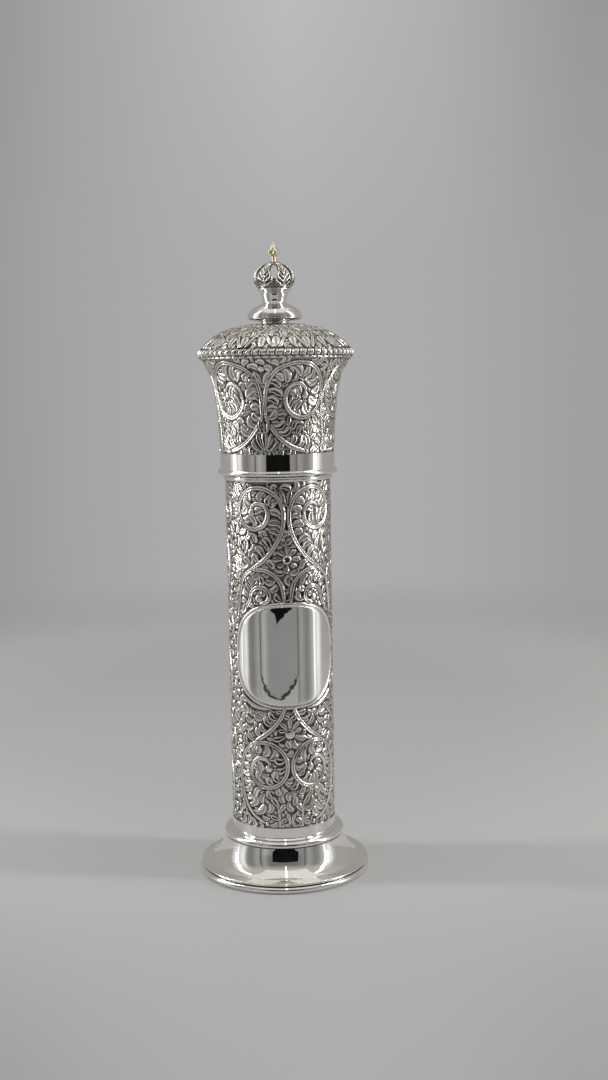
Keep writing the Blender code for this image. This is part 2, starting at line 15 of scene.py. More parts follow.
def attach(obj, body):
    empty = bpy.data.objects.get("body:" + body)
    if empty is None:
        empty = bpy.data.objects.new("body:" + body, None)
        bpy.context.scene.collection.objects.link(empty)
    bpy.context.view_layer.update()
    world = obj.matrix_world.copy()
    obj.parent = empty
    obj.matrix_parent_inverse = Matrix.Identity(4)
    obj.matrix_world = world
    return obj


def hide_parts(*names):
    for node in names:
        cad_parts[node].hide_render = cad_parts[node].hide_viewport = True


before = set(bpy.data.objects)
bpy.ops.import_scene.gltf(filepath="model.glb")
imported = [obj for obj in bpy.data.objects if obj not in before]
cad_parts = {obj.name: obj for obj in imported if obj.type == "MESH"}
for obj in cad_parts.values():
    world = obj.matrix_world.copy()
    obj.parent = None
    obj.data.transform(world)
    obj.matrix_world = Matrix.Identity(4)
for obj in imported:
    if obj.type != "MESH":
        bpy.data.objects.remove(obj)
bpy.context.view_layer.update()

MM = 0.001
rng = np.random.default_rng(12)

# ---- Chasing ----

CELL = 0.2  # of a drawing of the chasing
TUBE_RADIUS = 30.0
CHASING_LOW = 31.2
CHASING_HIGH = 226.4
SKIRT_MEAN_RADIUS = 38.0
SKIRT_LOW = 242.2
SKIRT_HIGH = 294.2
CARTOUCHE_HALF_WIDTH = 32.2
CARTOUCHE_HALF_HEIGHT = 28.2
CARTOUCHE_MIDDLE = 129.9
CARTOUCHE_SQUARENESS = 2.5
# The raised border round the cartouche, by the share of its outline.
BORDER_PLACES = (1.0, 1.015, 1.035, 1.055, 1.075)
BORDER_HEIGHTS = (0.3, 0.85, 1.0, 0.85, 0.0)
BORDER_EDGE = 1.083  # with the groove round it
TRAIL_WAVE, TRAIL_SWING = 65.0, 5.5  # of the winding stems between the tube's panels
SKIRT_REPEATS = 3
DOME_REPEATS = 7
STEM_HALF_WIDTH = 1.15
STEM_HEIGHT = 0.68
LEAF_HEIGHT = 0.58
LEAF_LEAN, LEAF_BEND = 30, 105  # how leaves start away from their stem, and how far they curl, in degrees
BOSS_HEIGHT = STEM_HEIGHT * 1.1
GROOVE = 0.36  # cut round each stroke, down to the ground
FILL, LEAF, TOP = 0, 1, 2  # what a stroke may cover: bare ground, also other leaves, or everything


class Sheet:
    """The height of a chased wall above its ground, in cells, and what covers them: 0 for bare ground, 1
    for leaves and 2 for what stays above the leaves."""

    def __init__(self, around, low, high):
        self.around = around
        self.low = low
        self.columns = round(around / CELL)
        self.rows = round((high - low) / CELL) + 1
        self.cell_x = around / self.columns
        self.cell_z = (high - low) / (self.rows - 1)
        self.height = np.zeros((self.rows, self.columns))
        self.cover = np.zeros((self.rows, self.columns), int)

    def near(self, line, reach):
        """The cells round a line: their index, and the places of their columns and rows."""
        first, last = line.min(axis=0) - reach, line.max(axis=0) + reach
        columns = np.arange(int(first[0] // self.cell_x), int(last[0] // self.cell_x) + 2)
        rows = np.arange(
            max(0, int((first[1] - self.low) // self.cell_z)),
            max(0, min(self.rows, int((last[1] - self.low) // self.cell_z) + 2)),
        )
        return np.ix_(rows, columns % self.columns), columns * self.cell_x, self.low + rows * self.cell_z

    def stroke(self, line, widths, height, profile, level=LEAF):
        """Raises a stroke and cuts the groove round it, over whatever its level may cover."""
        cells, xs, zs = self.near(line, max(widths) + GROOVE + 0.1)
        if not len(zs):
            return
        out, along, side = measure(line, widths, xs, zs)
        worked = (out < 1 + GROOVE / max(widths)) & (self.cover[cells] <= level)
        shape = np.where(out < 1, height * profile(out, along, side), 0)
        self.height[cells] = np.where(worked, shape, self.height[cells])
        self.cover[cells] = np.where(worked, max(1, level), self.cover[cells])

    def room(self, line, widths, most, most_top):
        """Whether no more than these shares of a stroke would lie on worked cells, and on a top stroke."""
        step = np.gradient(line, axis=0)
        across = np.column_stack([-step[:, 1], step[:, 0]])
        across *= (np.asarray(widths) / np.maximum(1e-6, np.hypot(*step.T)))[:, None]
        points = np.vstack([line + k * across for k in (-1, -0.5, 0, 0.5, 1)])
        row = np.round((points[:, 1] - self.low) / self.cell_z).astype(int)
        if row.min() < 1 or row.max() > self.rows - 2:
            return False
        column = np.round(points[:, 0] / self.cell_x).astype(int) % self.columns
        cover = self.cover[row, column]
        return (cover > 0).mean() <= most and (cover == TOP).mean() <= most_top

    def sample(self, cells, x, z):
        """What an array of cells holds at any places, read between the cells."""
        u = (np.asarray(x) / self.cell_x) % self.columns
        v = np.clip((np.asarray(z) - self.low) / self.cell_z, 0, self.rows - 1.001)
        c, r = u.astype(int), v.astype(int)
        fu, fv = u - c, v - r
        c %= self.columns
        n = (c + 1) % self.columns
        below = cells[r, c] * (1 - fu) + cells[r, n] * fu
        above = cells[r + 1, c] * (1 - fu) + cells[r + 1, n] * fu
        return below * (1 - fv) + above * fv

    def recess(self):
        """Tarnish and painted shade: on the ground, in the grooves, and a little in the hollows of the
        leaves.
        """
        fine = smoothed(self.height, 1)
        low = np.clip(1 - (fine / LEAF_HEIGHT - 0.15) / 0.5, 0, 1)
        # Painted shade: the gap term darkens narrow grooves by how far the blurred relief stands above them.
        gap = np.clip((smoothed(self.height, 10) - fine) / (0.4 * STEM_HEIGHT), 0, 1)
        return np.clip(0.62 * low + 0.6 * gap, 0, 1)


def smoothed(cells, times):
    """The cells, blurred a number of times, with the drawing's two sides joined."""
    for _ in range(times):
        cells = (np.roll(cells, 1, axis=1) + 2 * cells + np.roll(cells, -1, axis=1)) / 4
        below = np.vstack([cells[:1], cells[:-1]])
        above = np.vstack([cells[1:], cells[-1:]])
        cells = (above + 2 * cells + below) / 4
    return cells


def measure(line, widths, xs, zs):
    """For each cell: its distance from a stroke's middle, as a share of the half width there, how far
    along the stroke it is, and on which side."""
    out = np.full((len(zs), len(xs)), 9.0)
    along = np.zeros_like(out)
    side = np.zeros_like(out)
    run = 0.0
    for a, b, width_a, width_b in zip(line, line[1:], widths, widths[1:]):
        step = b - a
        length = max(1e-6, math.hypot(*step))
        reach = max(width_a, width_b) + 0.5
        low = np.minimum(a, b) - reach
        high = np.maximum(a, b) + reach
        c = slice(*np.searchsorted(xs, (low[0], high[0])))
        r = slice(*np.searchsorted(zs, (low[1], high[1])))
        x = xs[c][None, :] - a[0]
        z = zs[r][:, None] - a[1]
        t = np.clip((x * step[0] + z * step[1]) / length**2, 0, 1)
        here = np.hypot(x - t * step[0], z - t * step[1]) / (width_a + (width_b - width_a) * t)
        nearer = here < out[r, c]
        out[r, c] = np.where(nearer, here, out[r, c])
        along[r, c] = np.where(nearer, run + t * length, along[r, c])
        side[r, c] = np.where(nearer, np.sign(step[0] * z - step[1] * x), side[r, c])
        run += length
    return out, along, side


def leaf_profile(out, along, side):
    """A lobe that leans, with a slight hollow off its middle."""
    across = out * side
    return (0.78 + 0.2 * across) * (1 - out**10) - 0.5 * np.exp(-(((across + 0.1) / 0.4) ** 2))


def ridge_profile(out, along, side):
    return np.sqrt(np.clip(1 - out**2, 0, 1))


def ball_profile(out, along, side):
    return np.sqrt(np.clip(1 - out**3, 0, 1))


def ring_profile(out, along, side):
    """A raised ring round a sunk eye."""
    return np.exp(-(((out - 0.78) / 0.17) ** 2)) * (1 - out**12)


def eyed_profile(out, along, side):
    """An oval leaf with a deep eye."""
    return 0.9 * (1 - out**10) - 0.7 * np.exp(-((out / 0.38) ** 2))


def spline(knots, steps=10):
    """A smooth line through the knots (Catmull-Rom)."""
    knots = np.array(knots, float)
    ends = np.vstack([2 * knots[0] - knots[1], knots, 2 * knots[-1] - knots[-2]])
    line = []
    for a, b, c, d in zip(ends, ends[1:], ends[2:], ends[3:]):
        square, cube = 2 * a - 5 * b + 4 * c - d, 3 * b - a - 3 * c + d
        line += [0.5 * (2 * b + (c - a) * t + square * t**2 + cube * t**3) for t in np.arange(steps) / steps]
    return np.array([*line, knots[-1]])


def volute(centre, radii, start, turn, hold=1.0):
    """A spiral from the first radius to the second. It stays wide longer where hold is above 1."""
    t = np.linspace(0, 1, int(abs(turn) / 7))
    angle = np.radians(start + turn * t)
    radius = radii[1] + (radii[0] - radii[1]) * (1 - t**hold)
    return np.column_stack([centre[0] + radius * np.cos(angle), centre[1] + radius * np.sin(angle)])


def scroll(knots, *coil, **more):
    """A line through the knots that goes on as a volute."""
    return np.vstack([spline(knots)[:-1], volute(*coil, **more)])


def toward(angle):
    """A step of 1 in a direction in degrees."""
    return np.array([math.cos(math.radians(angle)), math.sin(math.radians(angle))])


def bent(root, angle, length, bend, steps=8):
    """A line from a root towards an angle that turns by the bend on its way, in degrees."""
    turns = np.radians(angle + bend * (np.arange(steps) + 0.5) / steps)
    moves = length / steps * np.column_stack([np.cos(turns), np.sin(turns)])
    return np.vstack([root, root + np.cumsum(moves, axis=0)])


def lobe_widths(count, width, root=0.35, belly=0.72, tip=0.72):
    """Half widths along a lobe, fullest at the belly."""
    return width * np.interp(np.linspace(0, 1, count), [0, belly, 1], [root, 1, tip])


def stations(line, start, end, pitch):
    """Points along a stretch of a line, with the direction of the line there in degrees."""
    steps = np.hypot(*np.diff(line, axis=0).T)
    run = np.concatenate([[0], np.cumsum(steps)])
    for place in np.arange(start * run[-1], end * run[-1], pitch):
        i = min(int(np.searchsorted(run, place, side="right")) - 1, len(line) - 2)
        step = line[i + 1] - line[i]
        point = line[i] + step * (place - run[i]) / max(1e-6, steps[i])
        yield point, math.degrees(math.atan2(step[1], step[0]))


def stem(sheet, line, width=STEM_HALF_WIDTH, eye=0.0):
    """A stem of two ridges that becomes one towards its end, where it may curl into a ball."""
    widths = width * np.interp(np.linspace(0, 1, len(line)), [0, 0.05, 0.55, 0.8, 1], [0.7, 1, 1, 1.12, 0.62])
    whole = np.hypot(*np.diff(line, axis=0).T).sum()

    def profile(out, along, side):
        valley = np.interp(along / whole, [0, 0.7, 0.9], [0.85, 0.85, 0.1]) if eye else 0.85
        return np.clip(1 - out**6, 0, 1) * (1 - valley * np.exp(-((out / 0.34) ** 2)))

    sheet.stroke(line, widths, STEM_HEIGHT, profile, TOP)
    if eye:
        boss(sheet, line[-1], eye, BOSS_HEIGHT, ball_profile)


def boss(sheet, centre, radius, height, profile):
    centre = np.asarray(centre, float)
    sheet.stroke(np.array([centre, centre + [0.01, 0]]), [radius, radius], height, profile, TOP)


def leaf(sheet, root, angle, length, width, bend=0.0, profile=leaf_profile, tip=0.5):
    """One lobe, drawn whatever lies there."""
    spine = bent(np.asarray(root, float), angle, length, bend)
    sheet.stroke(spine, lobe_widths(len(spine), width, tip=tip), LEAF_HEIGHT, profile, TOP)


def half_leaf(sheet, half, root, angle, length, width, bend, **look):
    """A lobe of the left half where half is 1, and its mirror image on the right where it is -1."""
    angle = angle if half > 0 else 180 - angle
    leaf(sheet, (root[0] * half, root[1]), angle, length, width, bend * half, **look)


def fringe(sheet, line, start, end, pitch, side, length, width):
    """Lobes that spring from one side of a stem and curl over each other, each a little different, and
    now and then a thin tendril that curls right round."""
    for k, (point, heading) in enumerate(stations(line, start, end, pitch)):
        root = point + (STEM_HALF_WIDTH + 0.05) * toward(heading + 90 * side)
        if k % 4 == 1:
            coil = side * 330 * rng.uniform(0.9, 1.1)
            curl = bent(root, heading + side * 40, 1.45 * length, coil, 16)
            if sheet.room(curl[4:], np.full(len(curl) - 4, 0.8), 0.4, 0.08):
                sheet.stroke(curl, np.linspace(0.6, 0.75, len(curl)), LEAF_HEIGHT, ridge_profile)
                sheet.stroke(curl[-2:], [1.0, 1.1], LEAF_HEIGHT, ball_profile)
                continue
        long = length * (0.72, 1.0, 1.15, 0.88)[k % 4] * rng.uniform(0.9, 1.1)
        heading += side * (LEAF_LEAN + rng.uniform(-22, 22))
        for size in (1.0, 0.85, 0.7, 0.55):
            spine = bent(root, heading, long * size, side * LEAF_BEND * rng.uniform(0.75, 1.25))
            widths = lobe_widths(len(spine), width * size**0.6, tip=rng.uniform(0.35, 0.8))
            if sheet.room(spine[3:], widths[3:], 0.42, 0.1):
                sheet.stroke(spine, widths, LEAF_HEIGHT, eyed_profile if k % 3 == 0 else leaf_profile)
                break


def petals(sheet, centre, eye, rows, middle):
    """A flower: petals from (angle, length, half width, bend) rows round a raised middle."""
    for angle, length, width, bend in rows:
        leaf(sheet, np.asarray(centre) + (eye - 0.2) * toward(angle), angle - bend / 2, length, width, bend)
    boss(sheet, centre, eye, BOSS_HEIGHT, middle)


def clearance(sheet, most):
    """How far each bare cell lies from worked ones, in cells, up to a limit."""
    bare = sheet.cover == 0
    depth = bare.astype(int)
    for _ in range(most - 1):
        bare = bare & np.roll(bare, 1, axis=1) & np.roll(bare, -1, axis=1)
        inner = bare.copy()
        inner[1:] &= bare[:-1]
        inner[:-1] &= bare[1:]
        inner[[0, -1]] = False
        bare = inner
        depth += bare
    return depth


def fill(sheet, stems, sizes=((5.2, 1.9), (4.2, 1.5), (3.2, 1.15), (2.2, 0.8))):
    """Lobes over the bare ground, from large to small, which curl away from the nearest stem."""
    points = np.vstack(stems)[::3]
    headings = np.concatenate([np.degrees(np.arctan2(*np.gradient(s, axis=0).T[::-1])) for s in stems])[::3]
    points = np.vstack([points + [shift, 0] for shift in (-sheet.around, 0, sheet.around)])
    headings = np.tile(headings, 3)
    for length, width in sizes:
        need = max(1, round(0.8 * width / CELL))
        places = np.argwhere(clearance(sheet, need) >= need)
        places = places[(places % 2 == 0).all(axis=1)]
        for row, column in places[rng.permutation(len(places))]:
            if sheet.cover[row - need // 2 : row + need // 2 + 1, column].any():
                continue
            place = np.array([column * sheet.cell_x, sheet.low + row * sheet.cell_z])
            nearest = np.argmin(((points - place) ** 2).sum(axis=1))
            offset = place - points[nearest]
            away = math.degrees(math.atan2(offset[1], offset[0]))
            side = 1 if (away - headings[nearest]) % 360 < 180 else -1
            for lean in (45, 85, 10, 130):
                along = headings[nearest] + side * (lean + rng.uniform(-12, 12))
                spine = bent(place - 0.55 * (length * toward(along)), along - side * 50, length, side * 100)
                widths = lobe_widths(len(spine), width)
                if sheet.room(spine, widths, 0.14, 0.05):
                    sheet.stroke(spine, widths, LEAF_HEIGHT * rng.uniform(0.8, 0.95), leaf_profile, FILL)
                    break


def halves(line):
    """A line of the left half, and the same on the right."""
    return np.asarray(line, float), np.asarray(line, float) * [-1, 1]


def cartouche_share(x, z):
    """How far out a place is on the cartouche: 1 on its outline."""
    a = np.abs(x / CARTOUCHE_HALF_WIDTH) ** CARTOUCHE_SQUARENESS
    b = np.abs((z - CARTOUCHE_MIDDLE) / CARTOUCHE_HALF_HEIGHT) ** CARTOUCHE_SQUARENESS
    return (a + b) ** (1 / CARTOUCHE_SQUARENESS)


def trail(low, high, middle):
    """The winding stem between two panels, and the spirals in its bends."""
    z = np.linspace(low, high, 150)
    stems = [np.column_stack([middle + TRAIL_SWING * np.sin(2 * math.pi * (z - low) / TRAIL_WAVE), z])]
    for k, height in enumerate(np.arange(low + TRAIL_WAVE / 4, high - 6, TRAIL_WAVE / 2)):
        spiral = volute((-4.5, 0), (7.8, 1.7), -45, -400)
        stems.append(spiral * [1 if k % 2 == 0 else -1, 1] + [middle, height])
    return stems


def chase_tube():
    """One of the tube's two equal panels, with half of the trails beside it."""
    sheet = Sheet(math.pi * TUBE_RADIUS, CHASING_LOW, CHASING_HIGH)
    xs = (np.arange(sheet.columns) * sheet.cell_x + sheet.around / 2) % sheet.around - sheet.around / 2
    zs = sheet.low + np.arange(sheet.rows) * sheet.cell_z
    share = cartouche_share(xs[None, :], zs[:, None])
    sheet.height = np.interp(share, BORDER_PLACES, BORDER_HEIGHTS) * STEM_HEIGHT
    sheet.cover[share < BORDER_EDGE] = TOP

    upper = scroll([
        (-20.6, 178.6), (-12.5, 184.5), (-6.2, 192.4), (-2.4, 201),
        (-1.6, 209.5), (-3.2, 215.8), (-6.2, 220.0), (-10.8, 222.9),
    ], (-17.4, 210.3), (14.2, 2.6), 62, 478)
    outer = spline([
        (-2.5, 100.2), (-5.6, 93.8), (-11.9, 86.8), (-20.6, 80.5), (-27.4, 74.5),
        (-31, 66), (-31.3, 57), (-28.6, 46.5), (-22.5, 38.2), (-14, 33.4),
    ])
    lower = scroll([(-22.5, 79.4), (-19.5, 80.2)], (-14.8, 65.6), (15.0, 2.4), 100, -460, hold=1.3)
    arch = spline([(-20.6, 178.6), (-13, 178.2), (-6.9, 174.9), (-3.1, 169.3), (-1.9, 160.8)])
    side = spline([(-20.6, 178.6), (-26.5, 173.5), (-29.2, 166), (-30.5, 158.5), (-31.5, 152)])
    small = scroll([(-24.5, 157.3), (-22.8, 160.2)], (-14.8, 162.9), (7.3, 1.8), 190, -350)
    sprig = spline([(-6.6, 32.2), (-6.9, 40), (-7.6, 46)])
    crescent = spline([(-29.5, 107.5), (-24.5, 103.2), (-18, 100.6), (-11, 99.8)])
    trails = trail(CHASING_LOW + 1, CHASING_HIGH - 1, sheet.around / 2)

    scrolls = [*halves(upper), *halves(outer), *halves(lower), *halves(small)]
    plain = [*halves(arch), *halves(side)]
    for line in trails:
        stem(sheet, line, STEM_HALF_WIDTH * 0.9, eye=0.0 if line is trails[0] else 1.5)
    for line in plain:
        stem(sheet, line, STEM_HALF_WIDTH * 0.9)
    for line in scrolls:
        stem(sheet, line, eye=2.1 if line[-1][1] > 40 else 1.2)
    petals(sheet, (0, 184.0), 2.7, (
        (90, 4.6, 1.6, 60), (135, 4.2, 1.6, 80), (45, 4.4, 1.6, -70), (180, 5.0, 1.6, 60),
        (0, 5.0, 1.6, -60), (215, 3.6, 1.4, -70), (-35, 3.6, 1.4, 70), (-90, 4.6, 1.8, 60),
    ), ring_profile)
    petals(sheet, (0, 85.5), 2.8, (
        (90, 6.0, 1.5, 10), (128, 5.6, 1.5, 30), (52, 5.6, 1.5, -30), (197, 7.2, 1.9, -35),
        (-17, 7.2, 1.9, 35), (160, 4.0, 1.4, 40), (20, 4.0, 1.4, -40), (-90, 5.2, 2.0, 110),
    ), ball_profile)
    for half in (1, -1):
        stem(sheet, sprig * [half, 1], 0.7)
        for root, angle, length, width in (
            ((-7.2, 43.5), 118, 6.5, 2.0), ((-7.0, 40.5), 48, 5.6, 1.8), ((-6.8, 36.0), 150, 5.2, 1.7),
            ((-6.7, 34.0), 30, 4.6, 1.5), ((-24.5, 188.0), 80, 7.0, 2.1), ((-25.5, 186.5), 150, 6.0, 1.9),
            ((-0.9, 214.0), 97, 8.5, 1.5), ((-0.6, 34.0), 100, 6.0, 1.2),
        ):
            half_leaf(sheet, half, root, angle, length, width, 12, profile=eyed_profile, tip=0.3)
        widths = lobe_widths(len(crescent), 1.3, 0.3, 0.5, 0.3)
        sheet.stroke(crescent * [half, 1], widths, LEAF_HEIGHT, ridge_profile, TOP)
    for line, turn in zip(scrolls, (1, -1, 1, -1, -1, 1, -1, 1)):
        fringe(sheet, line, 0.04, 0.95, 5.1, turn, 7.0, 2.3)
        fringe(sheet, line, 0.03, 0.62, 4.9, -turn, 5.8, 1.95)
    for line in trails:
        for turn in (1, -1):
            fringe(sheet, line, 0.02, 0.95, 4.6, turn, 6.0, 1.95)
    fill(sheet, [*scrolls, *plain, *trails])
    return sheet


def chase_skirt():
    """One of the three equal panels of the lid's skirt."""
    sheet = Sheet(2 * math.pi * SKIRT_MEAN_RADIUS / SKIRT_REPEATS, SKIRT_LOW, SKIRT_HIGH)
    high_stem = scroll([
        (-1.3, 262.8), (-1.2, 272), (-2.6, 279.5), (-5.2, 284.6), (-8.6, 288.1), (-13.2, 290.5),
    ], (-22.6, 274.3), (18.5, 3.4), 60, 480)
    low_stem = spline([(-1.3, 262.8), (-5.1, 256.5), (-11.0, 250.4), (-18.4, 246.0), (-28, 243.6)])
    edge = spline([
        (-39.8, 244), (-38.6, 252), (-39.8, 260), (-41.0, 268), (-39.8, 276), (-38.9, 284), (-39.8, 293),
    ])
    scrolls = [*halves(high_stem), *halves(low_stem)]
    stem(sheet, edge, STEM_HALF_WIDTH * 0.8)
    for line in scrolls:
        stem(sheet, line, eye=2.0 if line[-1][1] > 250 else 1.2)
    boss(sheet, (0, 288.6), 1.7, STEM_HEIGHT, ball_profile)
    leaf(sheet, (0, 245.4), 90, 9.5, 2.2, profile=eyed_profile, tip=0.25)
    for half in (1, -1):
        for root, angle, length, width, bend in (
            ((-0.8, 281.0), 108, 6.5, 1.6, 25), ((-1.5, 246.0), 128, 7.6, 1.8, -30),
            ((-3.6, 244.6), 158, 6.4, 1.6, -40), ((-1.4, 254.5), 118, 6.0, 1.4, -25),
        ):
            half_leaf(sheet, half, root, angle, length, width, bend)
    for line, turn in zip(scrolls, (1, -1, -1, 1)):
        fringe(sheet, line, 0.03, 0.96, 5.2, turn, 7.2, 2.3)
        fringe(sheet, line, 0.03, 0.66, 5.0, -turn, 6.2, 2.0)
    fill(sheet, [*scrolls, edge, edge + [sheet.around, 0]])
    return sheet


def chase_dome(around, high):
    """A seventh of the dome, as a strip whose leaves shrink with its radius: oval leaves that lean to
    either side stand on the rim, slanting stems rise between them, and small curls fill the rest."""
    sheet = Sheet(around, 0.0, high)
    quarter = around / 4
    stems = []
    for k in range(4):
        x = (k + 0.5) * quarter + rng.uniform(-0.6, 0.6)
        way = 1 if k % 2 else -1
        knots = ((-2.6, 0.8), (0.4, 8), (4.6, 19), (1.6, 33))
        stems.append(spline([(x + out * way, z) for out, z in knots]))
        stem(sheet, stems[-1], 0.95)
    for k in range(4):
        x = k * quarter + rng.uniform(-0.6, 0.6)
        way = 1 if k % 2 else -1
        lean = rng.uniform(8, 26)
        root = (x - 0.8 * way, 1.2)
        leaf(sheet, root, 90 - lean * way, 7.6, 2.6, 2 * lean * way, profile=eyed_profile, tip=0.35)
        leaf(sheet, (x + 2.4 * way, 9.0), 90 - 50 * way, 7.0, 1.9, 100 * way)
        leaf(sheet, (x - 2.6 * way, 10.0), 90 + 35 * way, 6.4, 1.9, -90 * way)
        leaf(sheet, (x, 16.0), 90 + rng.uniform(-25, 25), 6.6, 2.0, 45 * way, profile=eyed_profile)
        curl = volute((x + 0.5 * way, 29.0), (4.4, 1.2), 270 if way > 0 else -90, 400 * way)
        stem(sheet, curl, 0.9, eye=1.4)
        stems.append(curl)
    fill(sheet, stems, ((5.0, 1.7), (3.8, 1.35), (2.8, 1.0), (2.0, 0.75)))
    return sheet


# ---- Meshes ----

CHASED_FACES = 187000  # the most triangles in one chased mesh
DETAIL = 0.28 * 1.0  # the spacing of a chased mesh before it is thinned
WELD = 0.004  # points closer than this become one
BEHIND = 0.3  # a point that lies deeper than this behind the ground is on the inside of a wall
ROUND_SHARP, CROWN_SHARP, TURNED_SHARP = 60, 45, 32  # edges that fold by more degrees stay sharp


def mesh_of(name, points, quads):
    """A mesh from points in millimetres and four corners a face."""
    mesh = bpy.data.meshes.new(name)
    mesh.vertices.add(len(points))
    mesh.vertices.foreach_set("co", (np.asarray(points) * MM).astype(np.float32).ravel())
    mesh.loops.add(4 * len(quads))
    mesh.loops.foreach_set("vertex_index", np.asarray(quads, np.int32).ravel())
    mesh.polygons.add(len(quads))
    mesh.polygons.foreach_set("loop_start", np.arange(0, 4 * len(quads), 4, dtype=np.int32))
    mesh.update(calc_edges=True)
    return mesh


def added(obj):
    bpy.context.scene.collection.objects.link(obj)
    return obj


def mark_recess(mesh, values):
    """Keeps how deep in a recess each point lies, from 0 to 1, for tarnish, painted shade and darker seams.
    """
    mesh.attributes.new("recess", "FLOAT", "POINT").data.foreach_set("value", np.asarray(values, np.float32))


def piece(name, points, quads, slot, solid, sharp=ROUND_SHARP, recess=None):
    """Adds a piece that rides on the case and stands for a node of the solid model."""
    mesh = mesh_of(name, points, quads)
    if recess is not None:
        mark_recess(mesh, recess)
    body = bmesh.new()
    body.from_mesh(mesh)
    bmesh.ops.remove_doubles(body, verts=body.verts, dist=WELD * MM)
    bmesh.ops.recalc_face_normals(body, faces=body.faces)
    body.to_mesh(mesh)
    body.free()
    mesh.shade_smooth()
    mesh.set_sharp_from_angle(angle=math.radians(sharp))
    mesh.materials.append(METALS[slot])
    obj = added(bpy.data.objects.new(name, mesh))
    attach(obj, "root")
    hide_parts(solid)
    return obj


def even_angles(steps):
    """Angles at even steps round the axis."""
    return np.arange(steps) * 2 * math.pi / steps


def ring(radius, height, angles):
    """Points round the axis. The radius and the height may differ from point to point."""
    radius = np.broadcast_to(radius, angles.shape)
    height = np.broadcast_to(height, angles.shape)
    return np.column_stack([radius * np.sin(angles), -radius * np.cos(angles), height])


def ring_quads(rings, columns):
    """Faces between each ring and the next, and between the last and the first."""
    here = np.arange(rings * columns).reshape(rings, columns)
    after = np.roll(here, -1, axis=0)
    corners = [here, np.roll(here, -1, axis=1), np.roll(after, -1, axis=1), after]
    return np.stack(corners, axis=-1).reshape(-1, 4)


def lathed(profile, steps):
    """Points and faces of a body turned from a closed outline of (radius, height) points."""
    return np.vstack([ring(r, z, even_angles(steps)) for r, z in profile]), ring_quads(len(profile), steps)


def turned(name, profile, solid, steps=256, seams=()):
    """A piece of polished silver turned from a closed outline. Its seams are darker."""
    recess = np.repeat([float(point in seams) for point in profile], steps)
    piece(name, *lathed(profile, steps), "polished_silver", solid, TURNED_SHARP, recess)


def arc(centre, radius, start, end, steps):
    """Points on a circle, from one angle to another in degrees."""
    angles = np.radians(np.linspace(start, end, steps + 1))
    return [(centre[0] + radius * math.cos(a), centre[1] + radius * math.sin(a)) for a in angles]


def bezier(start, pull_start, pull_end, end, steps):
    t = np.linspace(0, 1, steps + 1)[:, None]
    s = 1 - t
    corners = np.array([start, pull_start, pull_end, end], float)
    line = s**3 * corners[0] + 3 * s * s * t * corners[1] + 3 * s * t * t * corners[2] + t**3 * corners[3]
    return [tuple(point) for point in line]


def thinned(obj, faces):
    """Applies a Decimate that leaves about this many triangles."""
    obj.data.calc_loop_triangles()
    share = faces / len(obj.data.loop_triangles)
    if share < 1:
        thin = obj.modifiers.new("Thin", "DECIMATE")
        thin.ratio = share
        mesh = bpy.data.meshes.new_from_object(obj.evaluated_get(bpy.context.evaluated_depsgraph_get()))
        obj.modifiers.remove(thin)
        obj.data = mesh


def chased(name, sheet, wall, span, rest, solid, turn):
    """A chased wall: the drawing rolled round the axis on a curve, closed by the rest of its section.
    The wall gives the radius, height, place in the drawing and scale of the relief along the curve."""
    relief = smoothed(sheet.height, 1)
    length = 2 * math.pi * wall.mean_radius
    angles = even_angles(wall.columns)
    radius, height, drawn, scale = wall.at(np.linspace(*span, max(2, round((span[1] - span[0]) / DETAIL))))
    step = np.gradient(np.column_stack([radius, height]), axis=0)
    spacing = np.hypot(*step.T)
    step /= spacing[:, None]
    x, z = np.meshgrid((angles - turn) / (2 * math.pi) * length, drawn)
    lift = sheet.sample(relief, x, z) * scale[:, None]
    rings = [
        ring(r + proud * step_z, h - proud * step_r, angles)
        for r, h, proud, (step_r, step_z) in zip(radius, height, lift, step)
    ]
    rings += [ring(r, h, angles) for r, h in rest]
    obj = piece(name, np.vstack(rings), ring_quads(len(rings), wall.columns), "chased_silver", solid)
    thinned(obj, wall.faces)
    mesh = obj.data
    places = np.empty(3 * len(mesh.vertices), np.float32)
    mesh.vertices.foreach_get("co", places)
    places = places.reshape(-1, 3) / MM
    angle = np.arctan2(places[:, 0], -places[:, 1])
    reach = np.hypot(places[:, 0], places[:, 1])
    x = (angle - turn) / (2 * math.pi) * length
    z = wall.drawn_at(reach, places[:, 2])
    mark_recess(mesh, sheet.sample(sheet.recess(), x, z))

    # The normals follow the slope of the drawing, finer than the thinned faces.
    near = [np.interp(z, drawn, v) for v in (radius, height, scale, *step.T, np.gradient(drawn) / spacing)]
    base, level, scale, step_r, step_z, stretch = near
    slope_z, slope_x = np.gradient(smoothed(sheet.height, 2), sheet.cell_z, sheet.cell_x)
    along = sheet.sample(slope_z, x, z) * stretch * scale
    across = sheet.sample(slope_x, x, z) * wall.mean_radius / np.maximum(1, reach) * scale
    out = step_z - step_r * along
    normals = np.column_stack([
        out * np.sin(angle) - across * np.cos(angle),
        -out * np.cos(angle) - across * np.sin(angle),
        -step_r - step_z * along,
    ])
    proud = (reach - base) * step_z - (places[:, 2] - level) * step_r
    on_wall = (proud > -BEHIND) & (z > drawn.min() + CELL) & (z < drawn.max() - CELL)
    normals = normals / np.linalg.norm(normals, axis=1)[:, None] * on_wall[:, None]
    mesh.normals_split_custom_set_from_vertices(normals.tolist())


class UprightWall:
    """A wall whose drawing runs with its height."""

    faces = CHASED_FACES

    def at(self, z):
        return self.radius(z), z, z, np.ones_like(z)

    def drawn_at(self, radius, z):
        return z


class TubeWall(UprightWall):
    """The tube's ground: straight up."""

    mean_radius = TUBE_RADIUS
    ground = 29.42
    columns = round(2 * math.pi * ground / DETAIL)

    def radius(self, z):
        return np.full_like(z, self.ground)


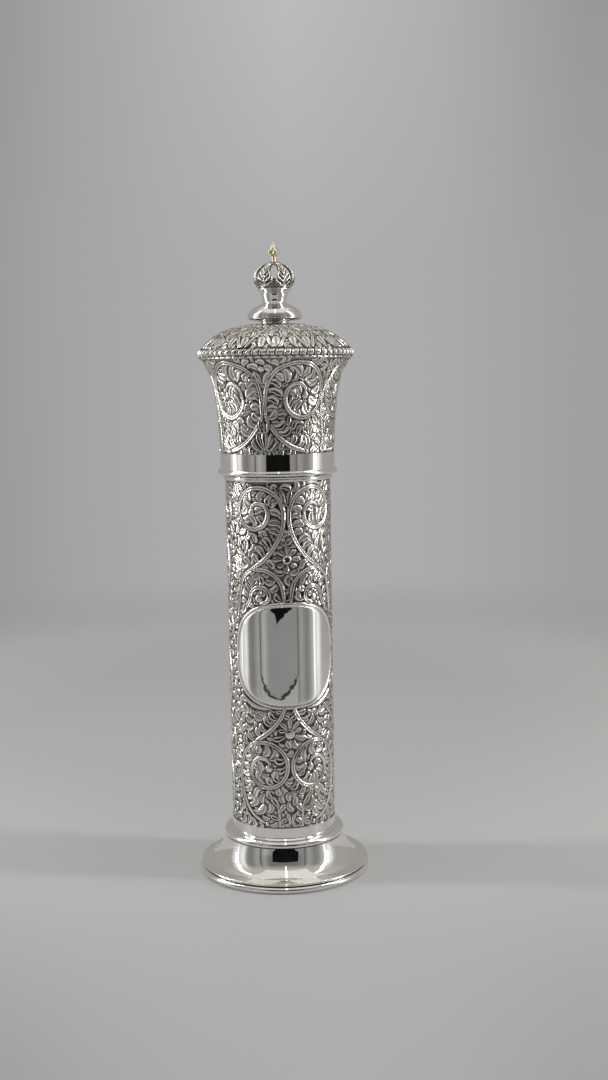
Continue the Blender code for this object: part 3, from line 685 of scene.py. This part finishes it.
class SkirtWall(UprightWall):
    """The lid's skirt: straight from its band, then flared out under the rim."""

    mean_radius = SKIRT_MEAN_RADIUS
    columns = round(2 * math.pi * mean_radius / DETAIL)
    high = 294.6
    band_radius = 32.35
    flare, lip = 4.2, 6.0  # how far the long, gentle flare and the sharp turn under the rim reach out
    ground_depth = 0.51

    def radius(self, z):
        share = np.clip((z - SKIRT_LOW) / (self.high - SKIRT_LOW), 0, None)
        return self.band_radius + self.flare * share**1.35 + self.lip * share**6.5 - self.ground_depth


class DomeWall:
    """The dome, from its rim to the knob. The drawing shrinks with the radius, so that it keeps its shape."""

    mean_radius = 40.0
    even_radius = 38.0  # where the mesh is as fine round the dome as up it
    columns = round(2 * math.pi * even_radius / DETAIL)
    faces = 130000
    rim_radius = 42.3
    low = 299.4
    high = 313.5
    power = 0.286  # the smaller it is, the fuller the dome's shoulder
    inner_radius = 6.5

    def __init__(self):
        self.radii = np.linspace(self.rim_radius, self.inner_radius, 400)
        fallen = (self.radii / self.rim_radius) ** (1 / self.power)
        self.heights = self.low + (self.high - self.low) * (1 - fallen)
        steps = np.hypot(np.diff(self.radii), np.diff(self.heights))
        middle = (self.radii[1:] + self.radii[:-1]) / 2
        self.run = np.concatenate([[0], np.cumsum(steps)])
        self.drawn = np.concatenate([[0], np.cumsum(steps * self.mean_radius / middle)])

    def at(self, run):
        radius = np.interp(run, self.run, self.radii)
        scale = np.clip(radius / self.mean_radius, 0.45, 1)
        return radius, np.interp(run, self.run, self.heights), np.interp(run, self.run, self.drawn), scale

    def drawn_at(self, radius, z):
        return np.interp(-radius, -self.radii, self.drawn)


class RimWall:
    """The rolled rim: a thin bead under a round belly."""

    mean_radius = 43.0
    tongues = 62
    pitch = 2 * math.pi * mean_radius / tongues
    columns = tongues * round(pitch / (0.8 * DETAIL))
    faces = 80000
    low = 294.7
    high = 299.3

    def __init__(self):
        line = [(42.0, self.low), *arc((42.55, self.low + 0.5), 0.45, -60, 60, 6)]
        line += [(42.6, self.low + 1.15), *arc((41.8, 297.5), 1.6, -50, 95, 16)]
        self.line = np.array(line)
        self.run = np.concatenate([[0], np.cumsum(np.hypot(*np.diff(self.line, axis=0).T))])
        self.length = self.run[-1]

    def at(self, run):
        radius, height = (np.interp(run, self.run, axis) for axis in self.line.T)
        return radius, height, run, np.ones_like(run)

    def drawn_at(self, radius, z):
        nearest = [np.argmin(np.hypot(self.line[:, 0] - r, self.line[:, 1] - h)) for r, h in zip(radius, z)]
        return self.run[nearest]


def chase_rim(wall):
    """One tongue of the rim, which leans and curls a little: a thin groove beside a raised left edge."""
    sheet = Sheet(wall.pitch, 0.0, wall.length)
    rows = sheet.low + np.arange(sheet.rows) * sheet.cell_z
    top = wall.length
    places = [0, 1.3, 1.5, 1.7, 2.2, 3.6, top - 1.4, top - 1.1, top - 0.8, top]
    section = [0.45, 0.45, 0.0, 0.0, 0.5, 0.55, 0.5, 0.0, 0.45, 0.45]
    sheet.height += np.interp(rows, places, section)[:, None]
    for x in (-sheet.around, 0.0, sheet.around, 2 * sheet.around):
        line = spline([(x + 0.9, 1.75), (x + 0.15, 2.6), (x + 0.05, 3.5), (x + 0.7, top - 1.15)])
        sheet.stroke(line, [0.2] * len(line), 0.0, ridge_profile, TOP)
        sheet.stroke(line + [0.62, 0.0], [0.42] * len(line), 0.8, ridge_profile, TOP)
    return sheet


# ---- Materials ----


def fed(made, **inputs):
    """Sets a node's inputs, each by its name or its number, to a value or another node's output."""
    for key, value in inputs.items():
        socket = made.inputs[int(key[1:])] if key[0] == "_" else made.inputs[key.replace("_", " ")]
        if isinstance(value, bpy.types.NodeSocket):
            made.id_data.links.new(value, socket)
        else:
            socket.default_value = value
    return made


def node(tree, kind, **inputs):
    return fed(tree.nodes.new(kind), **inputs)


def calculated(operation, a, b=0.0):
    made = node(a.id_data, "ShaderNodeMath", _0=a, _1=b)
    made.operation = operation
    return made.outputs[0]


def product(a, b):
    return calculated("MULTIPLY", a, b)


def ramp(factor, stops):
    """A colour ramp from (place, colour or grey) stops."""
    made = node(factor.id_data, "ShaderNodeValToRGB", Fac=factor)
    elements = made.color_ramp.elements
    while len(elements) < len(stops):
        elements.new(0.5)
    for element, (place, colour) in zip(elements, stops):
        element.position = place
        element.color = (colour,) * 3 + (1,) if isinstance(colour, (int, float)) else (*colour, 1)
    return made.outputs["Color"]


def mixed(factor, a, b):
    """The first colour where the factor is 0, and the second where it is 1."""
    made = node(factor.id_data, "ShaderNodeMix", _0=factor)
    made.data_type = "RGBA"
    a, b = (colour if isinstance(colour, bpy.types.NodeSocket) else (*colour, 1) for colour in (a, b))
    return fed(made, _6=a, _7=b).outputs[2]


def spanned(value, low, high, start=0.0, end=1.0):
    """Turns a value that runs from start to end into one that runs from low to high."""
    return node(value.id_data, "ShaderNodeMapRange", _0=value, _1=start, _2=end, _3=low, _4=high).outputs[0]


def share_of(value, start, end):
    """How far a value is on its way from start to end, from 0 to 1."""
    return spanned(value, 0.0, 1.0, start, end)


def noise(where, scale, detail=3.0):
    """Noise whose grains are 1 / scale metres across."""
    return node(where.id_data, "ShaderNodeTexNoise", Vector=where, Scale=scale, Detail=detail).outputs["Fac"]


def bumps(height, strength, distance):
    tree = height.id_data
    return node(tree, "ShaderNodeBump", Height=height, Strength=strength, Distance=distance).outputs["Normal"]


def material_with(name, **inputs):
    """A material, its shader with these inputs, and the places on its object."""
    material = bpy.data.materials.new(name)
    material.use_nodes = True
    tree = material.node_tree
    shader = fed(tree.nodes["Principled BSDF"], **inputs)
    return material, shader, node(tree, "ShaderNodeTexCoord").outputs["Object"]


def cloudy_metal(name, bright, dull, grains):
    """A metal that clouds from dull to bright: its material, shader and places, its clouds and colour, and
    how deep in a recess each place lies."""
    material, shader, where = material_with(name, Metallic=1.0)
    clouds = noise(where, grains, 4.0)
    colour = mixed(share_of(clouds, 0.35, 0.65), dull, bright)
    recess = node(material.node_tree, "ShaderNodeAttribute")
    recess.attribute_name = "recess"
    return material, shader, where, clouds, colour, recess.outputs["Fac"]


def polished_metal(name, bright, dull, smooth, rough):
    """Polished metal: faint clouding, fine rubbing marks round the piece, a soft unevenness and darker seams."""
    material, shader, where, clouds, colour, recess = cloudy_metal(name, bright, dull, 55.0)
    stretched = node(material.node_tree, "ShaderNodeMapping", Vector=where, Scale=(1.0, 1.0, 14.0))
    marks = noise(stretched.outputs["Vector"], 260.0, 6.0)
    rubbed = product(share_of(marks, 0.3, 0.7), spanned(clouds, 0.4, 1.0))
    # The seams are made darker by how deep in a seam each place lies.
    seam_darkened = mixed(spanned(recess, 0.0, 0.93, 0.15, 0.8), colour, SEAM_DARKENING)
    uneven = bumps(noise(where, 120.0, 2.0), 0.05, 0.00025)
    fed(shader, Base_Color=seam_darkened, Roughness=spanned(rubbed, smooth, rough), Normal=uneven)
    return material


def chased_metal(name, bright, dull, dark):
    """Chased silver: bright crests, and matted recesses darkened by tarnish never rubbed out and by painted
    shade.
    """
    material, shader, where, clouds, colour, recess = cloudy_metal(name, bright, dull, 70.0)
    # Painted shade with the tarnish: the recess darkens the colour, as tarnish on the ground and as shade in
    # the deep grooves.
    tarnish_and_shade = product(spanned(recess, 0.0, 0.98, 0.12, 0.84), spanned(clouds, 0.85, 1.1, 0.3, 0.7))
    matting = product(noise(where, 2400.0, 2.0), spanned(tarnish_and_shade, 0.05, 1.0))
    matted = bumps(matting, 0.2, 0.0002)
    fed(shader, Base_Color=mixed(tarnish_and_shade, colour, dark), Roughness=spanned(tarnish_and_shade, 0.12, 0.3), Normal=matted)
    return material


# The colour of the darker seams in polished silver.
SEAM_DARKENING = (0.05, 0.042, 0.034)
# Tarnish with painted shade: the colour of the chased recesses.
TARNISH_AND_SHADE = (0.032, 0.028, 0.024)
METALS = {
    "polished_silver": polished_metal(
        "Polished silver", (0.96, 0.945, 0.915), (0.89, 0.875, 0.845), 0.008, 0.035
    ),
    "chased_silver": chased_metal("Chased silver", (0.97, 0.935, 0.87), (0.92, 0.88, 0.815), TARNISH_AND_SHADE),
    "gilt": polished_metal("Gilt", (0.95, 0.84, 0.62), (0.86, 0.74, 0.52), 0.12, 0.26),
}


# ---- The foot and the tube ----

PLATE_GROUND = 29.3  # what the cartouches and the wires sink into
TUBE_BORE = 28.2
TUBE_BOTTOM = 25.0  # on the foot's collar
TUBE_FLOOR = 26.8
BAND_TOP = 31.0
NECK_RADIUS = 29.2
NECK_TOP = 238.5
TUBE_TURN = math.radians(4.6)
LID_TURN = math.radians(-15.5)  # the lid is set down a little turned on the tube
SKIRT_THICKNESS, DOME_THICKNESS = 1.2, 1.3
RIM_INSIDE = 40.8
PLATE_STEPS = 200


def make_foot():
    seams = [(34.3, 20.95), (34.3, 20.7), (46.7, 4.05), (46.7, 3.55)]
    collar = [(30.1, 25.0), (30.7, 24.4), (32.4, 24.3), *arc((32.6, 22.0), 2.3, 86, 0, 18), (34.85, 21.3)]
    bell = bezier((34.6, 20.6), (35.2, 17.2), (36.4, 12.6), (39.0, 9.6), 30)
    bell += bezier((39.0, 9.6), (40.4, 8.0), (41.8, 6.5), (43.6, 6.0), 24)[1:]
    flange = bezier((43.9, 5.93), (45.2, 5.6), (46.6, 5.4), (47.9, 5.35), 8)
    lip = arc((48.05, 4.7), 0.65, 90, -50, 8)
    bead = arc((47.95, 1.8), 1.8, 78, -90, 20)
    inside = [
        (46.1, 0.0), (46.1, 3.3), (42.2, 4.1), (38.4, 9.0), (35.2, 13.3),
        (33.1, 17.6), (32.3, 22.4), (27.6, 23.5), (27.6, 25.0),
    ]
    outline = [*collar, *seams[:2], *bell, *flange, *lip, *seams[2:], *bead, *inside]
    turned("Foot", outline, "foot", 208, seams)


def make_tube():
    sheet, wall, middle = chase_tube(), TubeWall(), CARTOUCHE_MIDDLE
    bottom = TUBE_BOTTOM + 1  # inside the band
    lower_rest = [
        (TUBE_BORE, middle), (TUBE_BORE, TUBE_FLOOR), (0, TUBE_FLOOR), (0, bottom), (wall.ground, bottom)
    ]
    upper_rest = [
        (NECK_RADIUS, CHASING_HIGH + 0.5), (NECK_RADIUS, NECK_TOP), (TUBE_BORE, NECK_TOP), (TUBE_BORE, middle)
    ]
    chased("Tube_lower", sheet, wall, (CHASING_LOW, middle), lower_rest, "scroll_tube", TUBE_TURN)
    chased("Tube_upper", sheet, wall, (middle, CHASING_HIGH), upper_rest, "scroll_tube", TUBE_TURN)
    plain_band("Tube_band", TUBE_RADIUS, TUBE_BORE + 0.5, TUBE_BOTTOM, BAND_TOP, "scroll_tube")
    for side, turn in (("front", 0.0), ("back", math.pi)):
        make_cartouche("Cartouche_" + side, TUBE_TURN + turn)


def plain_band(name, outer, inner, low, high, solid):
    turned(name, [(outer, high), (outer, low), (inner, low), (inner, high)], solid)


def make_cartouche(name, turn):
    """A polished, pillow-shaped plate whose edge tucks in behind its raised border."""
    shares = np.concatenate([np.linspace(0, 0.85, 24), np.linspace(0.86, 1.0, 30)])
    lift = 0.35 + 0.6 * (1 - shares**40) ** 0.5
    angles = even_angles(PLATE_STEPS)
    power = 2 / CARTOUCHE_SQUARENESS
    across, up = (
        np.sign(wave) * np.abs(wave) ** power * half
        for wave, half in ((np.cos(angles), CARTOUCHE_HALF_WIDTH), (np.sin(angles), CARTOUCHE_HALF_HEIGHT))
    )
    rings = []
    for share, rise in [*zip(shares, lift), (1.0, 0.05), (0.0, 0.05)]:
        a = share * across / TUBE_RADIUS + turn
        rings.append(ring(PLATE_GROUND + rise, CARTOUCHE_MIDDLE + share * up, a))
    piece(name, np.vstack(rings), ring_quads(len(rings), PLATE_STEPS), "polished_silver", "scroll_tube")


def make_wire(name, outer, low, high, solid):
    """A round-fronted wire soldered round the mouth."""
    half = (high - low) / 2
    inner = PLATE_GROUND - 0.1
    turned(name, [*arc((outer - half, low + half), half, 90, -90, 16), (inner, low), (inner, high)], solid)


# ---- The lid ----


def make_skirt():
    wall = SkirtWall()
    low, high = SKIRT_LOW - 0.1, wall.high
    inside = [(wall.radius(z) - SKIRT_THICKNESS, z) for z in np.linspace(high, low, 9)]
    rest = [(42.9, high - 0.2), (42.9, high), *inside]
    chased("Skirt", chase_skirt(), wall, (SKIRT_LOW, SKIRT_HIGH), rest, "lid_skirt", LID_TURN)
    plain_band("Lid_band", wall.band_radius, 31.1, 232.9, SKIRT_LOW, "lid_skirt")


def make_rim():
    wall = RimWall()
    rest = [(RIM_INSIDE, wall.high), (RIM_INSIDE, wall.low)]
    chased("Rim", chase_rim(wall), wall, (0.0, wall.length), rest, "lid_rim", LID_TURN)


def make_dome():
    wall = DomeWall()
    sheet = chase_dome(2 * math.pi * wall.mean_radius / DOME_REPEATS, wall.drawn[-1])
    rise = wall.high - wall.low - DOME_THICKNESS
    shares = np.linspace(0, 1, 14)[2:] ** 0.5
    inside = [(40.6 * s, wall.low + rise * (1 - s ** (1 / wall.power))) for s in shares]
    top, low = wall.high - DOME_THICKNESS, wall.low - 0.2
    rest = [(wall.inner_radius, top), *inside, (40.6, low), (42.0, low)]
    chased("Dome", sheet, wall, (0.0, wall.run[-1]), rest, "lid_dome", LID_TURN)


def make_knob():
    low, high = 313.3, 333.4
    foot = bezier((8.7, low), (8.1, 313.7), (8.0, 314.4), (8.2, 315.0), 6)
    under = bezier((8.6, 315.25), (11.2, 315.5), (13.0, 315.55), (14.5, 316.1), 8)
    side = arc((14.45, 316.95), 0.85, -80, 5, 8)
    disc = bezier((15.3, 317.3), (15.0, 320.6), (12.6, 322.3), (9.6, 323.6), 28)
    waist = bezier((9.5, 323.65), (7.6, 324.5), (6.8, 325.2), (6.65, 326.2), 12)
    waist += bezier((6.65, 326.4), (6.8, 327.6), (7.3, 328.8), (7.45, 330.0), 14)
    cup = bezier((7.5, 330.3), (7.9, 331.0), (8.6, 331.6), (9.1, 332.2), 8)
    lip = arc((8.95, 332.8), 0.55, -60, 90, 8)
    outline = [(0.0, low), *foot, *under, *side, *disc, *waist, *cup, *lip, (0.0, high)]
    turned("Knob", outline[::-1], "knob", 160)


CROWN_TURN = math.radians(26.5)
CROWN_LEAVES = 6
LEAF_KNOTS = [  # height, radius and reach to either side in degrees, up a leaf of the crown
    (334.6, 9.3, 26.0), (336.0, 10.1, 28.5), (338.0, 10.6, 26.5), (340.2, 10.4, 19.5),
    (342.6, 9.2, 14.5), (344.8, 7.1, 14.0), (346.3, 4.9, 17.0), (347.0, 3.3, 24.0),
]
SPROUT_KNOTS = [(334.6, 10.4, 6.0), (335.9, 11.5, 8.5), (337.2, 12.0, 6.0), (338.3, 11.9, 1.5)]


def crown_shell(middle, knots, steps, columns, worked):
    """A bent leaf of the crown with a back: its points, faces and recesses. What is worked into its front
    comes from its heights and its shares to either side, as how far it stands out, how thick it is
    behind, and how deep its recesses are."""
    height, radius, reach = spline(knots, steps).T[:, :, None]
    share = np.linspace(-1, 1, columns)[None, :]
    angle = middle + np.radians(reach) * share
    front, back, recess = worked(height, share)
    outer, inner = (
        np.stack([r * np.sin(angle), -r * np.cos(angle), height + 0 * share], axis=-1)
        for r in (radius + front, radius - back + 0 * share)
    )
    rows = len(height)
    quads = ring_quads(rows, 2 * columns)[: (rows - 1) * 2 * columns]
    i = np.arange(columns - 1)
    cap = np.column_stack([i, i + 1, 2 * columns - 2 - i, 2 * columns - 1 - i])
    points = np.concatenate([outer, inner[:, ::-1]], axis=1).reshape(-1, 3)
    # The backs count as deepest in a recess, so they take the full tarnish and painted shade.
    recesses = np.concatenate([recess, np.ones_like(recess)], axis=1).ravel()
    return points, np.vstack([quads, cap, cap + (rows - 1) * 2 * columns]), recesses


def broad_leaf(height, share):
    """Ribs slant down and out from a vein to a raised edge."""
    vein = np.exp(-((share / 0.1) ** 2))
    edge = np.exp(-(((np.abs(share) - 0.9) / 0.1) ** 2))
    ribs = (0.5 + 0.5 * np.cos(2 * math.pi * (height / 2.4 - 1.5 * np.abs(share)))) * (1 - vein) * (1 - edge)
    worked = 0.75 * ribs + 0.75 * edge + 0.6 * vein
    return 0.1 + worked + 0.25 * (1 - share**2), 0.7, np.clip(1 - 1.5 * worked, 0, 1)


def sprout(height, share):
    """A small leaf that stands out in the gap between two broad ones."""
    edge = np.exp(-(((np.abs(share) - 0.8) / 0.15) ** 2))
    return 0.5 * (1 - share**2) + 0.3 * edge, 0.6, 0.7 * (1 - edge) + 0 * height


def make_crown():
    """A ring, six leaves that arch up and in, a small leaf in each gap, and the cap where they meet."""
    base = [
        (8.9, 333.35), (9.5, 333.6), (9.4, 334.1), (10.3, 334.5),
        (10.5, 334.9), (10.2, 335.3), (9.0, 335.1), (8.2, 333.35),
    ]
    cap = [(0.0, 345.9), (4.3, 346.1), (4.7, 346.6)]
    cap += [*bezier((4.4, 347.0), (3.0, 347.3), (2.3, 347.6), (2.0, 348.1), 5), (0.0, 348.1)]
    parts = []
    for profile, steps in ((base, 144), (cap, 96)):
        parts.append((*lathed(profile, steps), np.full(len(profile) * steps, 0.5)))
    for k in range(CROWN_LEAVES):
        middle = CROWN_TURN + 2 * math.pi * k / CROWN_LEAVES
        parts.append(crown_shell(middle, LEAF_KNOTS, 8, 43, broad_leaf))
        parts.append(crown_shell(middle + math.pi / CROWN_LEAVES, SPROUT_KNOTS, 6, 13, sprout))
    points, quads, recess = zip(*parts)
    quads = [faces + first for faces, first in zip(quads, np.cumsum([0, *map(len, points)]))]
    recess = np.concatenate(recess)
    piece("Crown", np.vstack(points), np.vstack(quads), "chased_silver", "crown", CROWN_SHARP, recess)


def make_bud():
    """A stem and a pointed bud with four swelling lobes."""
    stem_line = bezier((2.0, 347.7), (1.5, 348.4), (1.15, 349.2), (1.2, 350.9), 10)
    bud_line = spline([
        (1.3, 351.1), (2.0, 351.6), (2.75, 352.6), (2.85, 353.6), (2.3, 354.7),
        (1.75, 355.8), (1.05, 357.2), (0.35, 358.5), (0.0, 358.95),
    ], 6)
    steps = 96
    angles = even_angles(steps)
    lobes = np.abs(np.cos(2 * (angles - CROWN_TURN))) ** 1.5
    rings = [ring(r, z, angles) for r, z in [(0.0, 347.7), *stem_line]]
    for r, z in bud_line:
        swell = 0.17 * math.exp(-(((z - 353.0) / 1.6) ** 2)) + 0.06
        rings.append(ring(r * (1 - swell + 2 * swell * lobes), z, angles))
    quads = ring_quads(len(rings), steps)[: (len(rings) - 1) * steps]
    piece("Bud", np.vstack(rings), quads, "gilt", "bud")


# ---- Floor, camera and light ----

CAMERA_PLACE = (-0.04584, -0.76476, 0.2866)
CAMERA_TURN, CAMERA_DOWN, CAMERA_ROLL = -4.5, 7.09, -0.94  # in degrees
CAMERA_AZIMUTH = -3.43  # where the camera stands, in degrees round from the front
FLOOR_RADIUS = 0.85
FLOOR_MIDDLE = 0.35  # behind the case, in metres
FLOOR_FADE = (0.3, 0.8)  # the pale sheet ends softly between these distances from its middle
# How light the sheet is at distances from its middle: painted light and shade, lightest 0.4 m out and darker
# nearer and further.
FLOOR_LIGHT_AND_SHADE = (
    (0.2, (0.575, 0.58, 0.588)), (0.4, (0.645, 0.65, 0.655)),
    (0.52, (0.605, 0.61, 0.618)), (0.8, (0.55, 0.555, 0.56)),
)
# How bright the room is by azimuth from the camera's, in degrees.
ROOM = (
    (-180, (0.33, 0.32, 0.30)), (-110, (0.36, 0.35, 0.335)), (-104, 0.70), (-97, 0.65), (-94.5, 1.6),
    (-92, 0.60), (-81, 0.85), (-73, 0.24), (-64, 0.18), (-50, 0.34), (-46.5, 0.25), (-46, 0.05), (-45, 0.05),
    (-44.5, 0.25), (-37, 0.41), (-26, 0.25), (26, 0.25), (36.3, 0.25), (36.8, 0.05), (37.8, 0.05),
    (38.3, 0.22), (45, 0.32), (57, 0.20), (64, 0.24), (75.5, 0.50), (78, 1.6), (80.5, 0.65), (90, 0.92),
    (97, 0.50), (104, (0.36, 0.35, 0.335)), (180, (0.33, 0.32, 0.30)),
)
STRIP_AZIMUTHS = (-94.0, 80.0)
STRIP_SIZE = (0.09, 1.32)
STRIP_POWER = 3.3
STRIP_DISTANCE = 0.8
STRIP_HEIGHT = 0.74
OVERHEAD_SIZE = (1.6, 1.6)
OVERHEAD_POWER = 2.2
OVERHEAD_PLACE = (0, -0.15, 1.5)
CARD_DISTANCE = 0.80  # the black card that the camera stands before
CARD = (
    (-0.33, 0.38), (0.35, 0.38), (0.36, 0.16), (0.37, 0.08), (0.29, 0.045), (0.25, 0.026), (0.23, 0.018),
    (0.13, 0.016), (0.10, 0.012), (-0.02, 0.009), (-0.11, 0.001), (-0.16, 0.012), (-0.21, 0.018),
    (-0.25, 0.026), (-0.33, 0.07),
)
# How far down the sheet's front edge shows, as the sine of its angle, and where the sheet begins below it.
SHEET_EDGE = (-0.2457, -0.2357)
SHEET_BELOW = (-0.2407, -0.2427)
SHEET_TONE = (0.36, 0.36, 0.355)
CEILING = (0.46, 0.445, 0.415)
SEAM = (1.8, 1.8, 1.8)
BLACK = (0.0, 0.0, 0.0)
# How bright the backdrop looks from left to right, low down and at the top.
BACKDROP_LOW = ((0.13, 0.315), (0.25, 0.37), (0.38, 0.405), (0.55, 0.42), (0.7, 0.405), (0.87, 0.352))
BACKDROP_TOP = ((0.13, 0.275), (0.25, 0.36), (0.38, 0.43), (0.52, 0.50), (0.7, 0.43), (0.87, 0.315))


def make_floor():
    mesh = bpy.data.meshes.new("Floor")
    disc = bmesh.new()
    bmesh.ops.create_circle(disc, cap_ends=True, radius=FLOOR_RADIUS, segments=96)
    disc.to_mesh(mesh)
    disc.free()
    material, shader, where = material_with("Pale sheet", Roughness=0.75, Specular_IOR_Level=0.3)
    measured = node(material.node_tree, "ShaderNodeVectorMath", _0=where)
    measured.operation = "LENGTH"
    away = measured.outputs["Value"]
    # The tone by distance from the middle is painted light and shade; the noise makes it differ at random.
    tone = ramp(calculated("ADD", away, spanned(noise(where, 4.0), -0.06, 0.06)), FLOOR_LIGHT_AND_SHADE)
    fade = spanned(away, 1.0, 0.0, *FLOOR_FADE)
    fade.node.interpolation_type = "SMOOTHSTEP"
    fed(shader, Base_Color=tone, Alpha=fade)
    mesh.materials.append(material)
    floor = added(bpy.data.objects.new("Floor", mesh))
    floor.location = (0, FLOOR_MIDDLE, 0)


def make_camera():
    data = bpy.data.cameras.new("Camera")
    data.lens = 45.0
    data.sensor_width = 36.0
    camera = added(bpy.data.objects.new("Camera", data))
    turn, down, roll = (
        Matrix.Rotation(math.radians(angle), 4, axis)
        for angle, axis in ((CAMERA_TURN, "Z"), (90 - CAMERA_DOWN, "X"), (CAMERA_ROLL, "Z"))
    )
    camera.matrix_world = Matrix.Translation(CAMERA_PLACE) @ (turn @ down) @ roll
    bpy.context.scene.camera = camera


def make_card():
    """The black card behind the camera, as seen by the case."""
    mesh = bpy.data.meshes.new("Card")
    a = math.radians(CAMERA_AZIMUTH)
    out = np.array([math.sin(a), -math.cos(a), 0.0]) * CARD_DISTANCE
    right = np.array([math.cos(a), math.sin(a), 0.0])
    mesh.from_pydata([out + u * right + [0, 0, z] for u, z in CARD], [], [range(len(CARD))])
    material, shader, where = material_with("Black card", Roughness=0.9, Specular_IOR_Level=0.1)
    fed(shader, Base_Color=ramp(noise(where, 6.0), ((0.3, 0.004), (0.8, 0.012))))
    mesh.materials.append(material)
    card = added(bpy.data.objects.new("Card", mesh))
    card.visible_camera = False


def make_lamp(name, size, power, place, turn=(0, 0, 0)):
    data = bpy.data.lights.new(name, "AREA")
    data.shape = "RECTANGLE"
    data.size, data.size_y = size
    data.energy = power
    light = added(bpy.data.objects.new(name, data))
    light.location = place
    light.rotation_euler = turn
    light.visible_camera = False


def make_lamps():
    """A wide soft lamp overhead, and a tall narrow one on either side."""
    make_lamp("Overhead", OVERHEAD_SIZE, OVERHEAD_POWER, OVERHEAD_PLACE)
    for azimuth in STRIP_AZIMUTHS:
        a = math.radians(CAMERA_AZIMUTH + azimuth)
        place = (STRIP_DISTANCE * math.sin(a), -STRIP_DISTANCE * math.cos(a), STRIP_HEIGHT)
        make_lamp("Strip", STRIP_SIZE, STRIP_POWER, place, (math.radians(90), 0, a))


def make_world():
    """The room that the silver mirrors. The camera sees it as one plain backdrop."""
    world = bpy.data.worlds.new("Tent")
    world.use_nodes = True
    tree = world.node_tree
    where = node(tree, "ShaderNodeTexCoord").outputs["Generated"]
    facing = node(tree, "ShaderNodeVectorRotate", Vector=where, Angle=math.radians(-CAMERA_AZIMUTH))
    facing.rotation_type = "Z_AXIS"
    x, y, z = node(tree, "ShaderNodeSeparateXYZ", Vector=facing.outputs[0]).outputs
    azimuth = calculated("ARCTAN2", x, product(y, -1.0))
    room = ramp(share_of(azimuth, -math.pi, math.pi), [((a + 180) / 360, tone) for a, tone in ROOM])

    # The sheet's front edge, which the plate mirrors as a dark curve.
    off = calculated("ABSOLUTE", calculated("ADD", azimuth, 0.09))
    bow = product(calculated("POWER", off, 2.0), 0.0387)
    shaken = spanned(noise(where, 5.0, 1.0), -0.0018, 0.0018, 0.3, 0.7)
    rise = calculated("ADD", calculated("SUBTRACT", z, bow), shaken)
    edge = ramp(share_of(rise, *SHEET_EDGE), ((0.12, 1.0), (0.22, 0.0), (0.64, 0.0), (0.74, 1.0)))
    kept = calculated("MAXIMUM", edge, ramp(off, ((0.66, 0.0), (0.70, 1.0))))
    near = product(share_of(rise, *SHEET_BELOW), ramp(off, ((0.66, 1.0), (0.8, 0.0))))
    room = mixed(near, room, SHEET_TONE)
    room = mixed(spanned(kept, 0.1, 1.0), BLACK, room)

    # The room is dim high up in front.
    dim = product(ramp(off, ((0.45, 0.35), (0.75, 0.0))), share_of(z, 0.1, 0.22))
    room = mixed(dim, room, BLACK)

    # The ceiling, with a bright seam that crosses it from front to back.
    lit = mixed(share_of(z, 0.55, 0.8), room, CEILING)
    from_seam = calculated("ABSOLUTE", calculated("SUBTRACT", x, 0.02))
    lit = mixed(product(ramp(from_seam, ((0.012, 1.0), (0.024, 0.0))), share_of(z, 0.6, 0.66)), lit, SEAM)

    across = share_of(calculated("ARCTAN2", x, y), -0.3, 0.3)
    glow = mixed(share_of(z, 0.08, 0.25), ramp(across, BACKDROP_LOW), ramp(across, BACKDROP_TOP))
    seen = node(tree, "ShaderNodeLightPath").outputs["Is Camera Ray"]
    fed(tree.nodes["Background"], Color=mixed(seen, lit, glow))
    bpy.context.scene.world = world


make_foot()
make_tube()
make_wire("Tube_wire", 31.0, 226.9, 229.7, "tube_wire")
make_wire("Lid_wire", 33.9, 230.2, 233.0, "lid_wire")
make_skirt()
make_rim()
make_dome()
make_knob()
make_crown()
make_bud()
make_floor()
make_camera()
make_card()
make_lamps()
make_world()
bpy.context.scene.view_settings.view_transform = "Standard"
